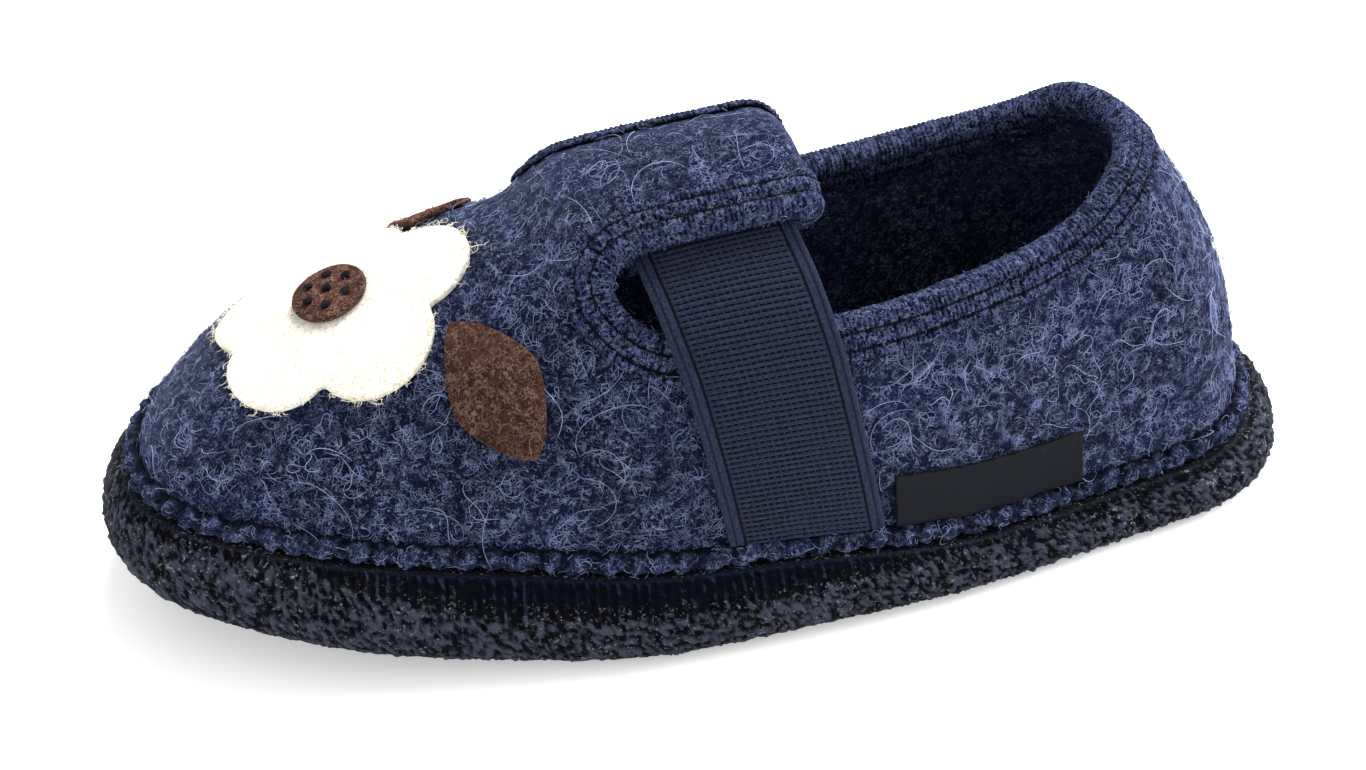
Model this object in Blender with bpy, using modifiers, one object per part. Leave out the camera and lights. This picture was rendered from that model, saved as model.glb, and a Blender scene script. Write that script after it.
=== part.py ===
"""Child's felt slipper for the left foot, standing on its sole.

Metres, +X to the toe, +Y to the outer side, +Z up. The origin is on the sole's flat
underside, half way along it.

The felt follows one last. A place on it is (u, v): u runs round the foot from the toe's
tip (-pi) along the inner side to the heel (0) and along the outer side to the toe (+pi),
and v runs up a rib from the sole's seam (0) to the ridge over the instep (1).
"""
import bmesh
import bpy
import numpy as np

# Driving dimensions of the last, measured at the seam where the felt meets the sole
LENGTH = 0.196
BALL_WIDTH = 0.0765
HEEL_WIDTH = 0.060
INSTEP_HEIGHT = 0.066
HEEL_HEIGHT = 0.068
SIDE_HEIGHT = 0.0171
TOE_SPRING = 0.0095
HEEL_SPRING = 0.001
HEEL_RADIUS = 0.0275
TOE_RADIUS = 0.0326

# Materials' thicknesses and the clearance between touching pieces
FELT = 0.0026
GAP = 0.0003
TAPE = 0.0007
TAPE_GAP = 0.0005
TAPE_WIDTH = 0.0065
ELASTIC = 0.0012
ELASTIC_WIDTH = 0.027
PATCH = 0.0013
LABEL = 0.0006
LABEL_LENGTH = 0.036
LABEL_HEIGHT = 0.0095
LABEL_GAP = 0.0018
LABEL_BEHIND_ELASTIC = 0.008
BEAD_HEIGHT = 0.0034
BEAD_DEPTH = 0.0024

# Sole
SOLE_PAD = 0.0065
SOLE_EDGE = 0.0055
SOLE_FLARE = 0.006
SEAM_INSET = 0.001
WIDEST_SHARE = 0.42
INSOLE = 0.0035
INSOLE_ROUND = 0.0009

# Tab over the instep, folded back round the elastic
TAB_RAISE = 0.0041
FOLD_RADIUS = 0.0047
NOTCH_LENGTH = 0.009

# Flower on the vamp, its place measured along the felt from the toe pivot; turns in radians
FLOWER_AHEAD = 0.003
FLOWER_ACROSS = 0.002
FLOWER_RADIUS = 0.0240
FLOWER_CENTRE = 0.0068
PETALS = 5
PETAL_DEPTH = 0.26
PETAL_ROUNDNESS = 0.7
LEAF_LENGTH = 0.028
LEAF_WIDTH = 0.015
LEAF_FULLNESS = 1.4
LEAF_BEARING = 2.217
LEAF_HEADING = 1.9
LEAF_GAP = 0.0007

# Shares of the length where things happen, and of a rib's height
HEEL_PIVOT = 0.25
TOE_PIVOT = 0.80
WAIST_START = 0.20
WAIST_END = 0.70
SPRING_START = 0.60
SPRING_CURVE = 1.5
HEEL_LIFT_END = 0.12
NOTCH_TIP = 0.603
TAB_END = 0.441
FLAP_END = 0.632
TAPE_END = 0.595
RAISE_START = 0.66
RAISE_FULL = 0.595
RAISE_BACK = 0.30
RAISE_SHARE = 0.50
TIP_SHARE = 0.640
TAB_SHARE = 0.725

# Shares of the way up from the seam to the felt's edge, and from the tab's edge to the ridge
WALL_ROWS = np.array([0, 0.03, 0.24, 0.46, 0.65, 0.80, 0.90, 0.98, 1])
TAB_ROWS = np.array([0, 0.03, 0.12, 0.24, 0.42, 0.62, 0.82, 1])

MERGE = 0.00005
STEP = 0.001
TURN = np.pi


def table(names, *rows):
    """Named columns from rows of values."""
    return {name: np.array(column, float) for name, column in zip(names.split(), zip(*rows))}


# Half width as a share of half the local width; swing of the middle as a share of the ball width
PLAN = table("along half swing",
             (0.000, 0.000, 0.000),
             (0.035, 0.695, 0.000),
             (0.100, 0.935, 0.000),
             (0.200, 1.080, 0.000),
             (0.340, 1.115, 0.052),
             (0.480, 1.020, 0.074),
             (0.600, 0.996, 0.036),
             (0.700, 0.992, -0.030),
             (0.800, 0.940, -0.062),
             (0.890, 0.803, -0.080),
             (0.960, 0.520, -0.045),
             (1.000, 0.000, 0.000))

# Seam as a share of the side height, crown as a share of the instep height
HEIGHTS = table("along seam crown",
                (0.00, 0.595, 1.145),
                (0.20, 0.56, 1.12),
                (0.30, 0.62, 1.10),
                (0.45, 0.87, 1.08),
                (0.60, 0.965, 1.005),
                (0.72, 1.015, 0.834),
                (0.85, 1.003, 0.661),
                (1.00, 0.958, 0.485))

# How far the sole stands out beyond the seam, as a share of its flare
FLARE = table("along share",
              (0.00, 1.05),
              (0.08, 1.28),
              (0.20, 1.22),
              (0.36, 0.98),
              (0.50, 1.02),
              (0.64, 1.30),
              (0.80, 1.40),
              (0.93, 1.25),
              (1.00, 1.05))

# Felt edge round the foot opening, as a share of the heel height
COLLAR = table("along height",
               (0.000, 0.930),
               (0.060, 0.908),
               (0.115, 0.858),
               (0.193, 0.800),
               (0.264, 0.778),
               (0.340, 0.763),
               (0.450, 0.759),
               (0.620, 0.775))

# Elastic: middle as a share of the length, how far it is over the tape and in the tab's fold
STRAP = table("v middle over_tape in_fold",
              (0.000, 0.460, 0.05, 0.00),
              (0.180, 0.473, 0.14, 0.00),
              (0.320, 0.483, 0.72, 0.00),
              (0.380, 0.487, 1.05, 0.00),
              (0.500, 0.496, 1.09, 0.00),
              (0.560, 0.500, 0.79, 0.00),
              (0.640, 0.505, 0.31, 0.36),
              (0.720, 0.509, 0.00, 0.82),
              (0.780, 0.509, 0.00, 1.00),
              (1.000, 0.509, 0.00, 1.00))


def spline(xs, ys, x):
    """Natural cubic spline through two columns."""
    x = np.asarray(x, float)
    count = len(xs)
    step = np.diff(xs)
    rows = np.eye(count)
    right = np.zeros(count)
    for i in range(1, count - 1):
        rows[i, i - 1:i + 2] = step[i - 1], 2 * (step[i - 1] + step[i]), step[i]
        right[i] = 6 * ((ys[i + 1] - ys[i]) / step[i] - (ys[i] - ys[i - 1]) / step[i - 1])
    bend = np.linalg.solve(rows, right)
    i = np.clip(np.searchsorted(xs, x) - 1, 0, count - 2)
    after, before = xs[i + 1] - x, x - xs[i]
    curved = (bend[i] * after ** 3 + bend[i + 1] * before ** 3) / (6 * step[i])
    start = (ys[i] / step[i] - bend[i] * step[i] / 6) * after
    return curved + start + (ys[i + 1] / step[i] - bend[i + 1] * step[i] / 6) * before


def smooth(share):
    share = np.clip(share, 0, 1)
    return share * share * (3 - 2 * share)


def angle_at(along):
    """Positive u of the rib at a share of the length."""
    return np.arccos(1 - 2 * np.asarray(along, float))


def along_at(u):
    return (1 - np.cos(u)) / 2


def lift(along):
    """Height of the sole's underside: toe spring and the heel's small rise."""
    toe = np.clip((along - SPRING_START) / (1 - SPRING_START), 0, None)
    heel = np.clip(1 - along / HEEL_LIFT_END, 0, None)
    return TOE_SPRING * toe ** SPRING_CURVE + HEEL_SPRING * heel ** 2


def seam_height(u):
    along = along_at(u)
    return SIDE_HEIGHT * spline(HEIGHTS["along"], HEIGHTS["seam"], along) + lift(along)


def flare(u):
    return SOLE_FLARE * spline(FLARE["along"], FLARE["share"], along_at(u))


def crown_height(along):
    return INSTEP_HEIGHT * spline(HEIGHTS["along"], HEIGHTS["crown"], along) + lift(along)


def half_and_swing(tau):
    """Half width and sideways swing of the sole's outline; tau is u without its sign."""
    along = PLAN["along"]
    at = angle_at(along)
    growth = smooth((along - WAIST_START) / (WAIST_END - WAIST_START))
    width = HEEL_WIDTH + (BALL_WIDTH - HEEL_WIDTH) * growth
    fullness = np.empty(len(at))
    fullness[1:-1] = PLAN["half"][1:-1] * width[1:-1] / 2 / np.sin(at[1:-1])
    fullness[0] = np.sqrt(HEEL_RADIUS * LENGTH / 2)
    fullness[-1] = np.sqrt(TOE_RADIUS * LENGTH / 2)
    return spline(at, fullness, tau) * np.sin(tau), spline(at, PLAN["swing"] * BALL_WIDTH, tau)


def outline(u, out=0.0):
    """Plan point of the sole's outline, moved outward by out."""
    def point(angle):
        angle = (angle + TURN) % (2 * TURN) - TURN
        half, swing = half_and_swing(np.abs(angle))
        return np.stack([-LENGTH / 2 * np.cos(angle), swing + np.sign(angle) * half], -1)
    u = np.asarray(u, float)
    run = point(u + STEP) - point(u - STEP)
    normal = np.stack([-run[..., 1], run[..., 0]], -1)
    normal /= np.linalg.norm(normal, axis=-1, keepdims=True)
    return point(u) + normal * np.broadcast_to(out, u.shape)[..., None]


def last_point(u, v):
    """Point on the last: each rib is a quarter of an ellipse from the seam to the ridge."""
    u, v = np.broadcast_arrays(np.asarray(u, float), np.asarray(v, float))
    foot = outline(u, -SEAM_INSET)
    pivot = angle_at(np.clip(along_at(u), HEEL_PIVOT, TOE_PIVOT))
    ridge = np.stack([-LENGTH / 2 * np.cos(pivot), half_and_swing(pivot)[1]], -1)
    turn = v * TURN / 2
    plan = foot + (ridge - foot) * (1 - np.cos(turn))[..., None]
    base = seam_height(u)
    crown = crown_height(plan[..., 0] / LENGTH + 0.5)
    return np.concatenate([plan, (base + (crown - base) * np.sin(turn))[..., None]], -1)


def normal_at(u, v):
    v = np.clip(v, 0, 1 - 2 * STEP)
    run = last_point(u + STEP, v) - last_point(u - STEP, v)
    rise = last_point(u, v + STEP) - last_point(u, v - STEP)
    normal = np.cross(rise, run)
    return normal / np.linalg.norm(normal, axis=-1, keepdims=True)


def raised(u, v):
    """Height of the tab and the swell in front of it over the last."""
    along = along_at(u)
    front = smooth((RAISE_START - along) / (RAISE_START - RAISE_FULL))
    rear = smooth((along - RAISE_BACK) / (TAB_END - RAISE_BACK))
    return TAB_RAISE * front * rear * smooth((v - RAISE_SHARE) / (TAB_SHARE - RAISE_SHARE))


def off_last(u, v, out):
    """Point at a height over the last."""
    return last_point(u, v) + normal_at(u, v) * np.asarray(out, float)[..., None]


def body(u, v, out=0.0):
    """The quarters' and vamp's outer face, moved outward by out."""
    u, v, out = np.broadcast_arrays(*(np.asarray(a, float) for a in (u, v, out)))
    return off_last(u, v, out + raised(u, v))


def tab(reach, v, side, out=0.0):
    """The tab's outer face. Reach is the length left before the fold, negative round and under it."""
    reach, v, side, out = np.broadcast_arrays(*(np.asarray(a, float) for a in (reach, v, side, out)))
    arc = TURN * FOLD_RADIUS
    above = np.clip(reach, 0, None)
    below = np.clip(-arc - reach, 0, None)
    u = side * angle_at(TAB_END + (above + below) / LENGTH)
    bend = np.clip(-reach / FOLD_RADIUS, 0, TURN)
    back = last_point(u - side * STEP, v) - last_point(u + side * STEP, v)
    back /= np.linalg.norm(back, axis=-1, keepdims=True)
    sunk = np.where(reach > 0, TAB_RAISE - raised(u, v), 0)
    radius = FOLD_RADIUS + out
    height = TAB_RAISE - FOLD_RADIUS - sunk + radius * np.cos(bend)
    return off_last(u, v, height) + back * (radius * np.sin(bend))[..., None]


def share_above_seam(u, height):
    """v of the place on a rib that lies a height over the seam."""
    return np.arcsin(height / (crown_height(along_at(u)) - seam_height(u))) / (TURN / 2)


def collar_share(u):
    """v of the felt edge round the foot opening."""
    target = HEEL_HEIGHT * spline(COLLAR["along"], COLLAR["height"], along_at(u))
    base = seam_height(u)
    v = np.full(np.shape(u), 0.5)
    for _ in range(12):
        crown = crown_height(last_point(u, v)[..., 0] / LENGTH + 0.5)
        v = np.arcsin(np.clip((target - base) / (crown - base), 0, 1)) / (TURN / 2)
    return v


def notch_opening(u):
    """How far the notch is open at a rib: 0 at its tip, 1 behind its round end."""
    behind = (NOTCH_TIP - along_at(u)) * LENGTH
    ahead = 1 - np.clip(behind / NOTCH_LENGTH, 0, 1)
    return np.sqrt(np.clip(1 - ahead ** 2, 0, 1))


def quarter_edge(u):
    u = np.minimum(np.abs(u), angle_at(NOTCH_TIP))
    return TIP_SHARE - (TIP_SHARE - collar_share(u)) * notch_opening(u)


def tab_edge(u):
    return TIP_SHARE + (TAB_SHARE - TIP_SHARE) * notch_opening(u)


def rib_angles():
    """Positive u of the ribs, close together at the heel and round the notch."""
    heel = np.concatenate([np.linspace(0, 0.9, 10), np.linspace(1.03, angle_at(TAB_END), 4)])
    tip = NOTCH_TIP - NOTCH_LENGTH / LENGTH * (1 - np.cos(np.linspace(TURN / 2, 0, 6)))
    straight = np.linspace(TAB_END, tip[0], 5)[1:-1]
    swell = np.linspace(NOTCH_TIP, RAISE_START, 6)[1:]
    toe = np.linspace(angle_at(RAISE_START), TURN, 12)[1:]
    return np.concatenate([heel, angle_at(straight), angle_at(tip), angle_at(swell), toe])


RIBS = rib_angles()
ROUND = np.concatenate([-RIBS[::-1], RIBS[1:]])


class Surface:
    """Points and faces gathered from grids, joined where they meet."""

    def __init__(self):
        self.points = []
        self.faces = []

    def add(self, grid, flip=False):
        rows, columns = grid.shape[:2]
        first = len(self.points)
        for i in range(rows - 1):
            for j in range(columns - 1):
                a = first + i * columns + j
                face = (a, a + columns, a + columns + 1, a + 1)
                self.faces.append(face[::-1] if flip else face)
        self.points += grid.reshape(-1, 3).tolist()

    def build(self, name, colour, roughness, closed=True):
        mesh = bpy.data.meshes.new(name)
        mesh.from_pydata(self.points, [], self.faces)
        work = bmesh.new()
        work.from_mesh(mesh)
        bmesh.ops.remove_doubles(work, verts=work.verts, dist=MERGE)
        if closed:
            bmesh.ops.recalc_face_normals(work, faces=work.faces)
        work.to_mesh(mesh)
        work.free()
        mesh.shade_smooth()
        mesh.materials.append(material(name, colour, roughness))
        made = bpy.data.objects.new(name, mesh)
        SLIPPER.objects.link(made)
        return made


def material(name, colour, roughness):
    made = bpy.data.materials.new(name)
    made.use_nodes = True
    shader = made.node_tree.nodes["Principled BSDF"]
    shader.inputs["Base Color"].default_value = (*colour, 1)
    shader.inputs["Roughness"].default_value = roughness
    shader.inputs["Metallic"].default_value = 0
    return made


def thicken(made, thickness, outward):
    wall = made.modifiers.new("wall", "SOLIDIFY")
    wall.thickness = thickness
    wall.offset = 1 if outward else -1


def ring(profile):
    """Grid right round the foot from a profile of (out, height over the floor) functions of u."""
    columns = []
    for out, height in profile:
        plan = outline(ROUND, out)
        columns.append(np.concatenate([plan, np.broadcast_to(height, ROUND.shape)[:, None]], 1))
    return np.stack(columns, 1)


def deck(out, height):
    """Strip from the outer to the inner side that closes a ring, level across the foot."""
    rise = lift(along_at(RIBS)) + height
    sides = [np.concatenate([outline(side * RIBS, out), rise[:, None]], 1) for side in (1, -1)]
    return np.stack(sides, 1)


def outsole():
    """Shallow cup: pad, rounded edge, side with a ledge for the seam, rim under the felt."""
    rise = lift(along_at(ROUND))
    seam = seam_height(ROUND)
    ledge = seam - BEAD_HEIGHT / 2 - GAP
    inside = -SEAM_INSET - FELT
    widest = rise + (ledge - rise) * WIDEST_SHARE
    wide = flare(ROUND)
    edge = [(wide - SOLE_EDGE * (1 - np.sin(turn)), rise + (widest - rise) * (1 - np.cos(turn)))
            for turn in np.linspace(0, TURN / 2, 5)]
    side = [(BEAD_DEPTH + (wide - BEAD_DEPTH) * (1 - up ** 2), widest + (ledge - widest) * up)
            for up in np.linspace(0, 1, 4)[1:]]
    rim = [(-SEAM_INSET, ledge), (-SEAM_INSET, seam - GAP), (inside, seam - GAP), (inside, rise + SOLE_PAD)]
    made = Surface()
    made.add(ring(edge + side + rim))
    made.add(deck(flare(RIBS) - SOLE_EDGE, 0))
    made.add(deck(inside, SOLE_PAD))
    made.build("outsole", (0.025, 0.028, 0.040), 0.9)


def insole():
    """Loose felt sock inside the cup."""
    out = -SEAM_INSET - FELT - GAP
    low = SOLE_PAD + GAP
    rise = lift(along_at(ROUND))
    high = low + INSOLE
    made = Surface()
    made.add(ring([(out, rise + low), (out, rise + high - INSOLE_ROUND), (out - INSOLE_ROUND, rise + high)]))
    made.add(deck(out, low))
    made.add(deck(out - INSOLE_ROUND, high))
    made.build("insole", (0.020, 0.028, 0.070), 0.95)


def seam_bead():
    """Thick overedge seam between the felt and the sole's rim."""
    seam = seam_height(ROUND)
    back = GAP - SEAM_INSET
    turns = np.linspace(-TURN / 2, TURN / 2, 6)
    profile = [(back + BEAD_DEPTH * np.cos(turn), seam + BEAD_HEIGHT / 2 * np.sin(turn)) for turn in turns]
    made = Surface()
    made.add(ring(profile + profile[:1]))
    made.build("seam_bead", (0.025, 0.040, 0.110), 0.9)


def upper():
    """Quarters, vamp and folded tab in one felt wall."""
    made = Surface()
    u = ROUND[:, None]
    made.add(body(u, quarter_edge(u) * WALL_ROWS), flip=True)
    front = RIBS[RIBS >= angle_at(TAB_END) - MERGE][::-1]
    edge = tab_edge(front)[:, None]
    flap = TURN * FOLD_RADIUS + np.linspace(0, (FLAP_END - TAB_END) * LENGTH, 6)
    reach = -np.concatenate([np.linspace(0, TURN * FOLD_RADIUS, 9), flap[1:]])[:, None]
    for side in (1, -1):
        made.add(body(side * front[:, None], edge + (1 - edge) * TAB_ROWS), flip=side < 0)
        made.add(tab(reach, TAB_SHARE + (1 - TAB_SHARE) * TAB_ROWS, side), flip=side < 0)
    felt = made.build("upper", (0.045, 0.075, 0.20), 0.95, closed=False)
    thicken(felt, FELT, outward=False)


def felt_face(kind, side, first, v, out):
    """The felt's outer face; first is the reach on the tab and the unsigned u on the body."""
    if kind == "tab":
        return tab(first, v, side, out)
    return body(side * first, v, out)


def edge_path():
    """Stations on the bound felt edge, from under the tab round notch and collar to the other side."""
    arc = TURN * FOLD_RADIUS
    under = -arc - np.linspace((TAPE_END - TAB_END) * LENGTH, 0, 8)
    fold = -np.linspace(arc, 0, 9)[1:]
    straight = np.linspace(0, (NOTCH_TIP - TAB_END) * LENGTH - NOTCH_LENGTH, 6)[1:]
    half = [("tab", reach, TAB_SHARE) for reach in np.concatenate([under, fold, straight])]
    behind = NOTCH_LENGTH * (1 - np.cos(np.linspace(TURN / 2, 0, 11)))
    notch = angle_at(NOTCH_TIP - behind / LENGTH)
    half += [("body", u, float(tab_edge(u))) for u in notch[1:]]
    collar = np.concatenate([notch[::-1][1:], np.linspace(notch[0], 0.6, 13)[1:], np.linspace(0.52, 0, 8)])
    half += [("body", u, float(quarter_edge(u))) for u in collar]
    outer = [(kind, 1, first, v) for kind, first, v in half]
    inner = [(kind, -1, first, v) for kind, first, v in half[:-1]]
    return outer + inner[::-1]


def edge_stations():
    """The path's stations, each with the steps of (first, v) for one metre straight into the felt."""
    path = edge_path()
    run = np.gradient(np.array([felt_face(*place, 0.0) for place in path]), axis=0)
    stations = []
    for (kind, side, first, v), direction in zip(path, run):
        by_first = felt_face(kind, side, first + STEP, v, 0) - felt_face(kind, side, first - STEP, v, 0)
        by_v = felt_face(kind, side, first, v + STEP, 0) - felt_face(kind, side, first, v - STEP, 0)
        inward = np.cross(direction, side * np.cross(by_v, by_first))
        inward /= np.linalg.norm(inward)
        both = np.stack([by_first, by_v], 1) / (2 * STEP)
        stations.append((kind, side, first, v, np.linalg.lstsq(both, inward, rcond=None)[0]))
    return stations


def tape_section():
    """Section round the felt edge: distance into the felt, height over its outer face."""
    near = TAPE_GAP
    far = TAPE_GAP + TAPE
    bevel = TAPE
    return [(TAPE_WIDTH, near), (TAPE_WIDTH - bevel, far), (bevel / 2, far), (-far, -bevel / 2),
            (-far, bevel / 2 - FELT), (bevel / 2, -FELT - far), (TAPE_WIDTH - bevel, -FELT - far),
            (TAPE_WIDTH, -FELT - near), (TAPE_WIDTH / 2, -FELT - near), (-near, -FELT - near),
            (-near, near), (TAPE_WIDTH / 2, near)]


END_FACES = [(0, 1, 11), (1, 2, 10, 11), (2, 3, 10), (3, 4, 9, 10), (4, 5, 9), (5, 6, 8, 9), (6, 7, 8)]


def collar_binding():
    """Knitted tape folded over the felt edge."""
    section = tape_section()
    rings = []
    for kind, side, first, v, inward in edge_stations():
        rings.append([felt_face(kind, side, first + into * inward[0], v + into * inward[1], out)
                      for into, out in section + section[:1]])
    made = Surface()
    made.add(np.array(rings))
    last = len(made.points) - len(section) - 1
    made.faces += END_FACES + [tuple(last + corner for corner in face) for face in END_FACES]
    made.build("collar_binding", (0.020, 0.032, 0.090), 0.9)


def elastic_band():
    """Wide woven elastic from seam to seam, through the folded tab."""
    shares = np.concatenate([[0], np.linspace(0.08, 1, 17)])
    across = np.linspace(-0.5, 0.5, 5) * ELASTIC_WIDTH / LENGTH
    start = share_above_seam(angle_at(STRAP["middle"][0]), BEAD_HEIGHT / 2 + GAP)
    v = (start + (1 - start) * shares)[:, None]
    middle = np.interp(v, STRAP["v"], STRAP["middle"])
    over_tape = np.interp(v, STRAP["v"], STRAP["over_tape"])
    in_fold = np.interp(v, STRAP["v"], STRAP["in_fold"])
    height = GAP * (1 - in_fold) + (TAPE_GAP + TAPE) * over_tape
    height = height + (TAB_RAISE - FOLD_RADIUS - ELASTIC / 2) * in_fold
    made = Surface()
    for side in (1, -1):
        u = side * angle_at(middle + across)
        made.add(off_last(u, np.broadcast_to(v, u.shape), np.broadcast_to(height, u.shape)), flip=side < 0)
    band = made.build("elastic_band", (0.012, 0.018, 0.050), 0.6, closed=False)
    thicken(band, ELASTIC, outward=True)


def label():
    """Small bare woven label tucked over the seam behind the elastic, on the outer side."""
    front = STRAP["middle"][0] - (ELASTIC_WIDTH / 2 + LABEL_GAP) / LENGTH
    u = angle_at(np.linspace(front, front - LABEL_LENGTH / LENGTH, 7))[:, None]
    low = BEAD_HEIGHT / 2 + GAP
    v = share_above_seam(u, low + LABEL_HEIGHT * np.linspace(0, 1, 4))
    u = np.broadcast_to(u, v.shape)
    made = Surface()
    made.add(body(u, v, GAP))
    tag = made.build("label", (0.006, 0.006, 0.008), 0.6, closed=False)
    thicken(tag, LABEL, outward=True)


def vamp_place(ahead, across):
    """(u, v) of a place on the vamp, measured along the felt from the toe pivot on the ridge."""
    side = 1 if across >= 0 else -1
    if ahead <= 0:
        u = angle_at(TOE_PIVOT + ahead / LENGTH)
    else:
        ribs = np.linspace(angle_at(TOE_PIVOT), TURN, 60)
        pivot = last_point(angle_at(TOE_PIVOT), 1.0)
        foot = last_point(side * ribs, 0.0) - pivot
        bearing = np.arctan2(side * foot[:, 1], foot[:, 0])
        u = np.interp(-np.arctan2(abs(across), ahead), -bearing, ribs)
    shares = np.linspace(1, 0, 41)
    rib = last_point(side * u, shares)
    run = np.concatenate([[0], np.cumsum(np.linalg.norm(np.diff(rib, axis=0), axis=1))])
    distance = abs(across) if ahead <= 0 else np.hypot(ahead, across)
    return side * u, np.interp(distance, run, shares)


def patch(name, centre, radius, out, colour, rings, spokes):
    """Felt cut-out laid on the vamp; radius gives its outline round the centre."""
    grid = []
    for ring_share in np.linspace(0, 1, rings):
        row = []
        for turn in np.linspace(0, 2 * TURN, spokes + 1):
            reach = ring_share * radius(turn)
            u, v = vamp_place(centre[0] + reach * np.cos(turn), centre[1] + reach * np.sin(turn))
            row.append(body(u, v, out))
        grid.append(row)
    made = Surface()
    made.add(np.array(grid))
    cut = made.build(name, colour, 0.95, closed=False)
    thicken(cut, PATCH, outward=True)


def petal_edge(turn):
    bulge = np.abs(np.sin(PETALS * turn / 2)) ** PETAL_ROUNDNESS
    return FLOWER_RADIUS * (1 - PETAL_DEPTH + PETAL_DEPTH * bulge)


def leaf_edge(heading):
    """Outline of a pointed leaf lying along a heading."""
    def radius(turn):
        along = 2 * np.abs(np.cos(turn - heading)) / LEAF_LENGTH
        across = 2 * np.abs(np.sin(turn - heading)) / LEAF_WIDTH
        return (along ** LEAF_FULLNESS + across ** LEAF_FULLNESS) ** (-1 / LEAF_FULLNESS)
    return radius


def flower():
    """Flower and two leaves cut from felt."""
    cream = (0.75, 0.70, 0.60)
    brown = (0.13, 0.055, 0.035)
    middle = (FLOWER_AHEAD, FLOWER_ACROSS)
    patch("flower_petals", middle, petal_edge, GAP, cream, rings=5, spokes=40)
    patch("flower_centre", middle, lambda turn: FLOWER_CENTRE, 2 * GAP + PATCH, brown, rings=3, spokes=20)
    reach = FLOWER_RADIUS + LEAF_GAP + leaf_edge(LEAF_HEADING)(LEAF_BEARING)
    ahead = FLOWER_AHEAD + reach * np.cos(LEAF_BEARING)
    for name, side in (("leaf_outer", 1), ("leaf_inner", -1)):
        across = FLOWER_ACROSS + side * reach * np.sin(LEAF_BEARING)
        patch(name, (ahead, across), leaf_edge(side * LEAF_HEADING), GAP, brown, rings=4, spokes=24)


for old in list(bpy.data.objects):
    bpy.data.objects.remove(old, do_unlink=True)
SLIPPER = bpy.data.collections.new("felt_slipper")
bpy.context.scene.collection.children.link(SLIPPER)
outsole()
insole()
seam_bead()
upper()
collar_binding()
elastic_band()
label()
flower()
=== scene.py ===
"""Looks of the child's felt slipper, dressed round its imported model.

Metres, +X to the toe, +Y to the outer side, +Z up, as in the model. A place on the felt is
(u, v): u runs round the foot, 0 at the heel and pi at the toe, positive on the outer side,
and v runs up a rib from the sole's seam (0) to the ridge over the instep (1).
"""

import bmesh
import bpy
import numpy as np
from mathutils import Matrix, Vector, noise
from mathutils.bvhtree import BVHTree


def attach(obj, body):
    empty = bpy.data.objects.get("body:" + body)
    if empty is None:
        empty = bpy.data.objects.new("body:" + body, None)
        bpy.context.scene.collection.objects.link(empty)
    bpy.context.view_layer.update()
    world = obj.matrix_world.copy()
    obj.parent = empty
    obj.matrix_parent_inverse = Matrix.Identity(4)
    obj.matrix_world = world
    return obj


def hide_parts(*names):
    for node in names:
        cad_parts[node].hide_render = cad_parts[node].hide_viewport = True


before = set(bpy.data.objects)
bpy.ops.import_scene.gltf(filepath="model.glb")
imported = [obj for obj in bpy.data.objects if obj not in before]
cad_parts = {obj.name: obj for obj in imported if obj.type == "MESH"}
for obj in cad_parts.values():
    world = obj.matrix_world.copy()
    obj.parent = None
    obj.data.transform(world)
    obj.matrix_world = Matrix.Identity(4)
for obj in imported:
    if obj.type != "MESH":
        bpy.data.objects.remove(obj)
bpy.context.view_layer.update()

# The last, with the model's sizes
LENGTH = 0.196
BALL_WIDTH = 0.0765
HEEL_WIDTH = 0.060
INSTEP_HEIGHT = 0.066
HEEL_HEIGHT = 0.068
SIDE_HEIGHT = 0.0171
TOE_SPRING = 0.0095
HEEL_SPRING = 0.001
HEEL_RADIUS = 0.0275
TOE_RADIUS = 0.0326

# Materials' thicknesses and the clearance between touching pieces
FELT = 0.0026
GAP = 0.0003
TAPE = 0.0007
TAPE_GAP = 0.0005
TAPE_WIDTH = 0.0065
ELASTIC = 0.0012
ELASTIC_WIDTH = 0.027
PATCH = 0.0013
LABEL = 0.0006
LABEL_LENGTH = 0.036
LABEL_HEIGHT = 0.0095
LABEL_GAP = 0.0018
BEAD_HEIGHT = 0.0034
BEAD_DEPTH = 0.0024

# Sole
SOLE_PAD = 0.0065
SOLE_EDGE = 0.0055
SOLE_FLARE = 0.006
SEAM_INSET = 0.001
WIDEST_SHARE = 0.42
INSOLE = 0.0035
INSOLE_ROUND = 0.0009

# Tab over the instep, folded back round the elastic
TAB_RAISE = 0.0041
FOLD_RADIUS = 0.0047
NOTCH_LENGTH = 0.009

# Flower on the vamp, its place measured along the felt from the toe pivot; turns in radians
FLOWER_AHEAD = 0.003
FLOWER_ACROSS = 0.002
FLOWER_RADIUS = 0.0240
FLOWER_CENTRE = 0.0068
PETALS = 5
PETAL_DEPTH = 0.26
PETAL_ROUNDNESS = 0.7
LEAF_LENGTH = 0.028
LEAF_WIDTH = 0.015
LEAF_FULLNESS = 1.4
LEAF_BEARING = 2.217
LEAF_HEADING = 1.9
LEAF_GAP = 0.0007

# Shares of the length where things happen, and of a rib's height
HEEL_PIVOT = 0.25
TOE_PIVOT = 0.80
WAIST_START = 0.20
WAIST_END = 0.70
SPRING_START = 0.60
SPRING_CURVE = 1.5
HEEL_LIFT_END = 0.12
NOTCH_TIP = 0.603
TAB_END = 0.441
FLAP_END = 0.632
TAPE_END = 0.595
RAISE_START = 0.66
RAISE_FULL = 0.595
RAISE_BACK = 0.30
RAISE_SHARE = 0.50
TIP_SHARE = 0.640
TAB_SHARE = 0.725

# Shares of the way up from the seam to the felt's edge, and from the tab's edge to the ridge
WALL_ROWS = np.array([0, 0.03, 0.24, 0.46, 0.65, 0.80, 0.90, 0.98, 1])
TAB_ROWS = np.array([0, 0.03, 0.12, 0.24, 0.42, 0.62, 0.82, 1])

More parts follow.
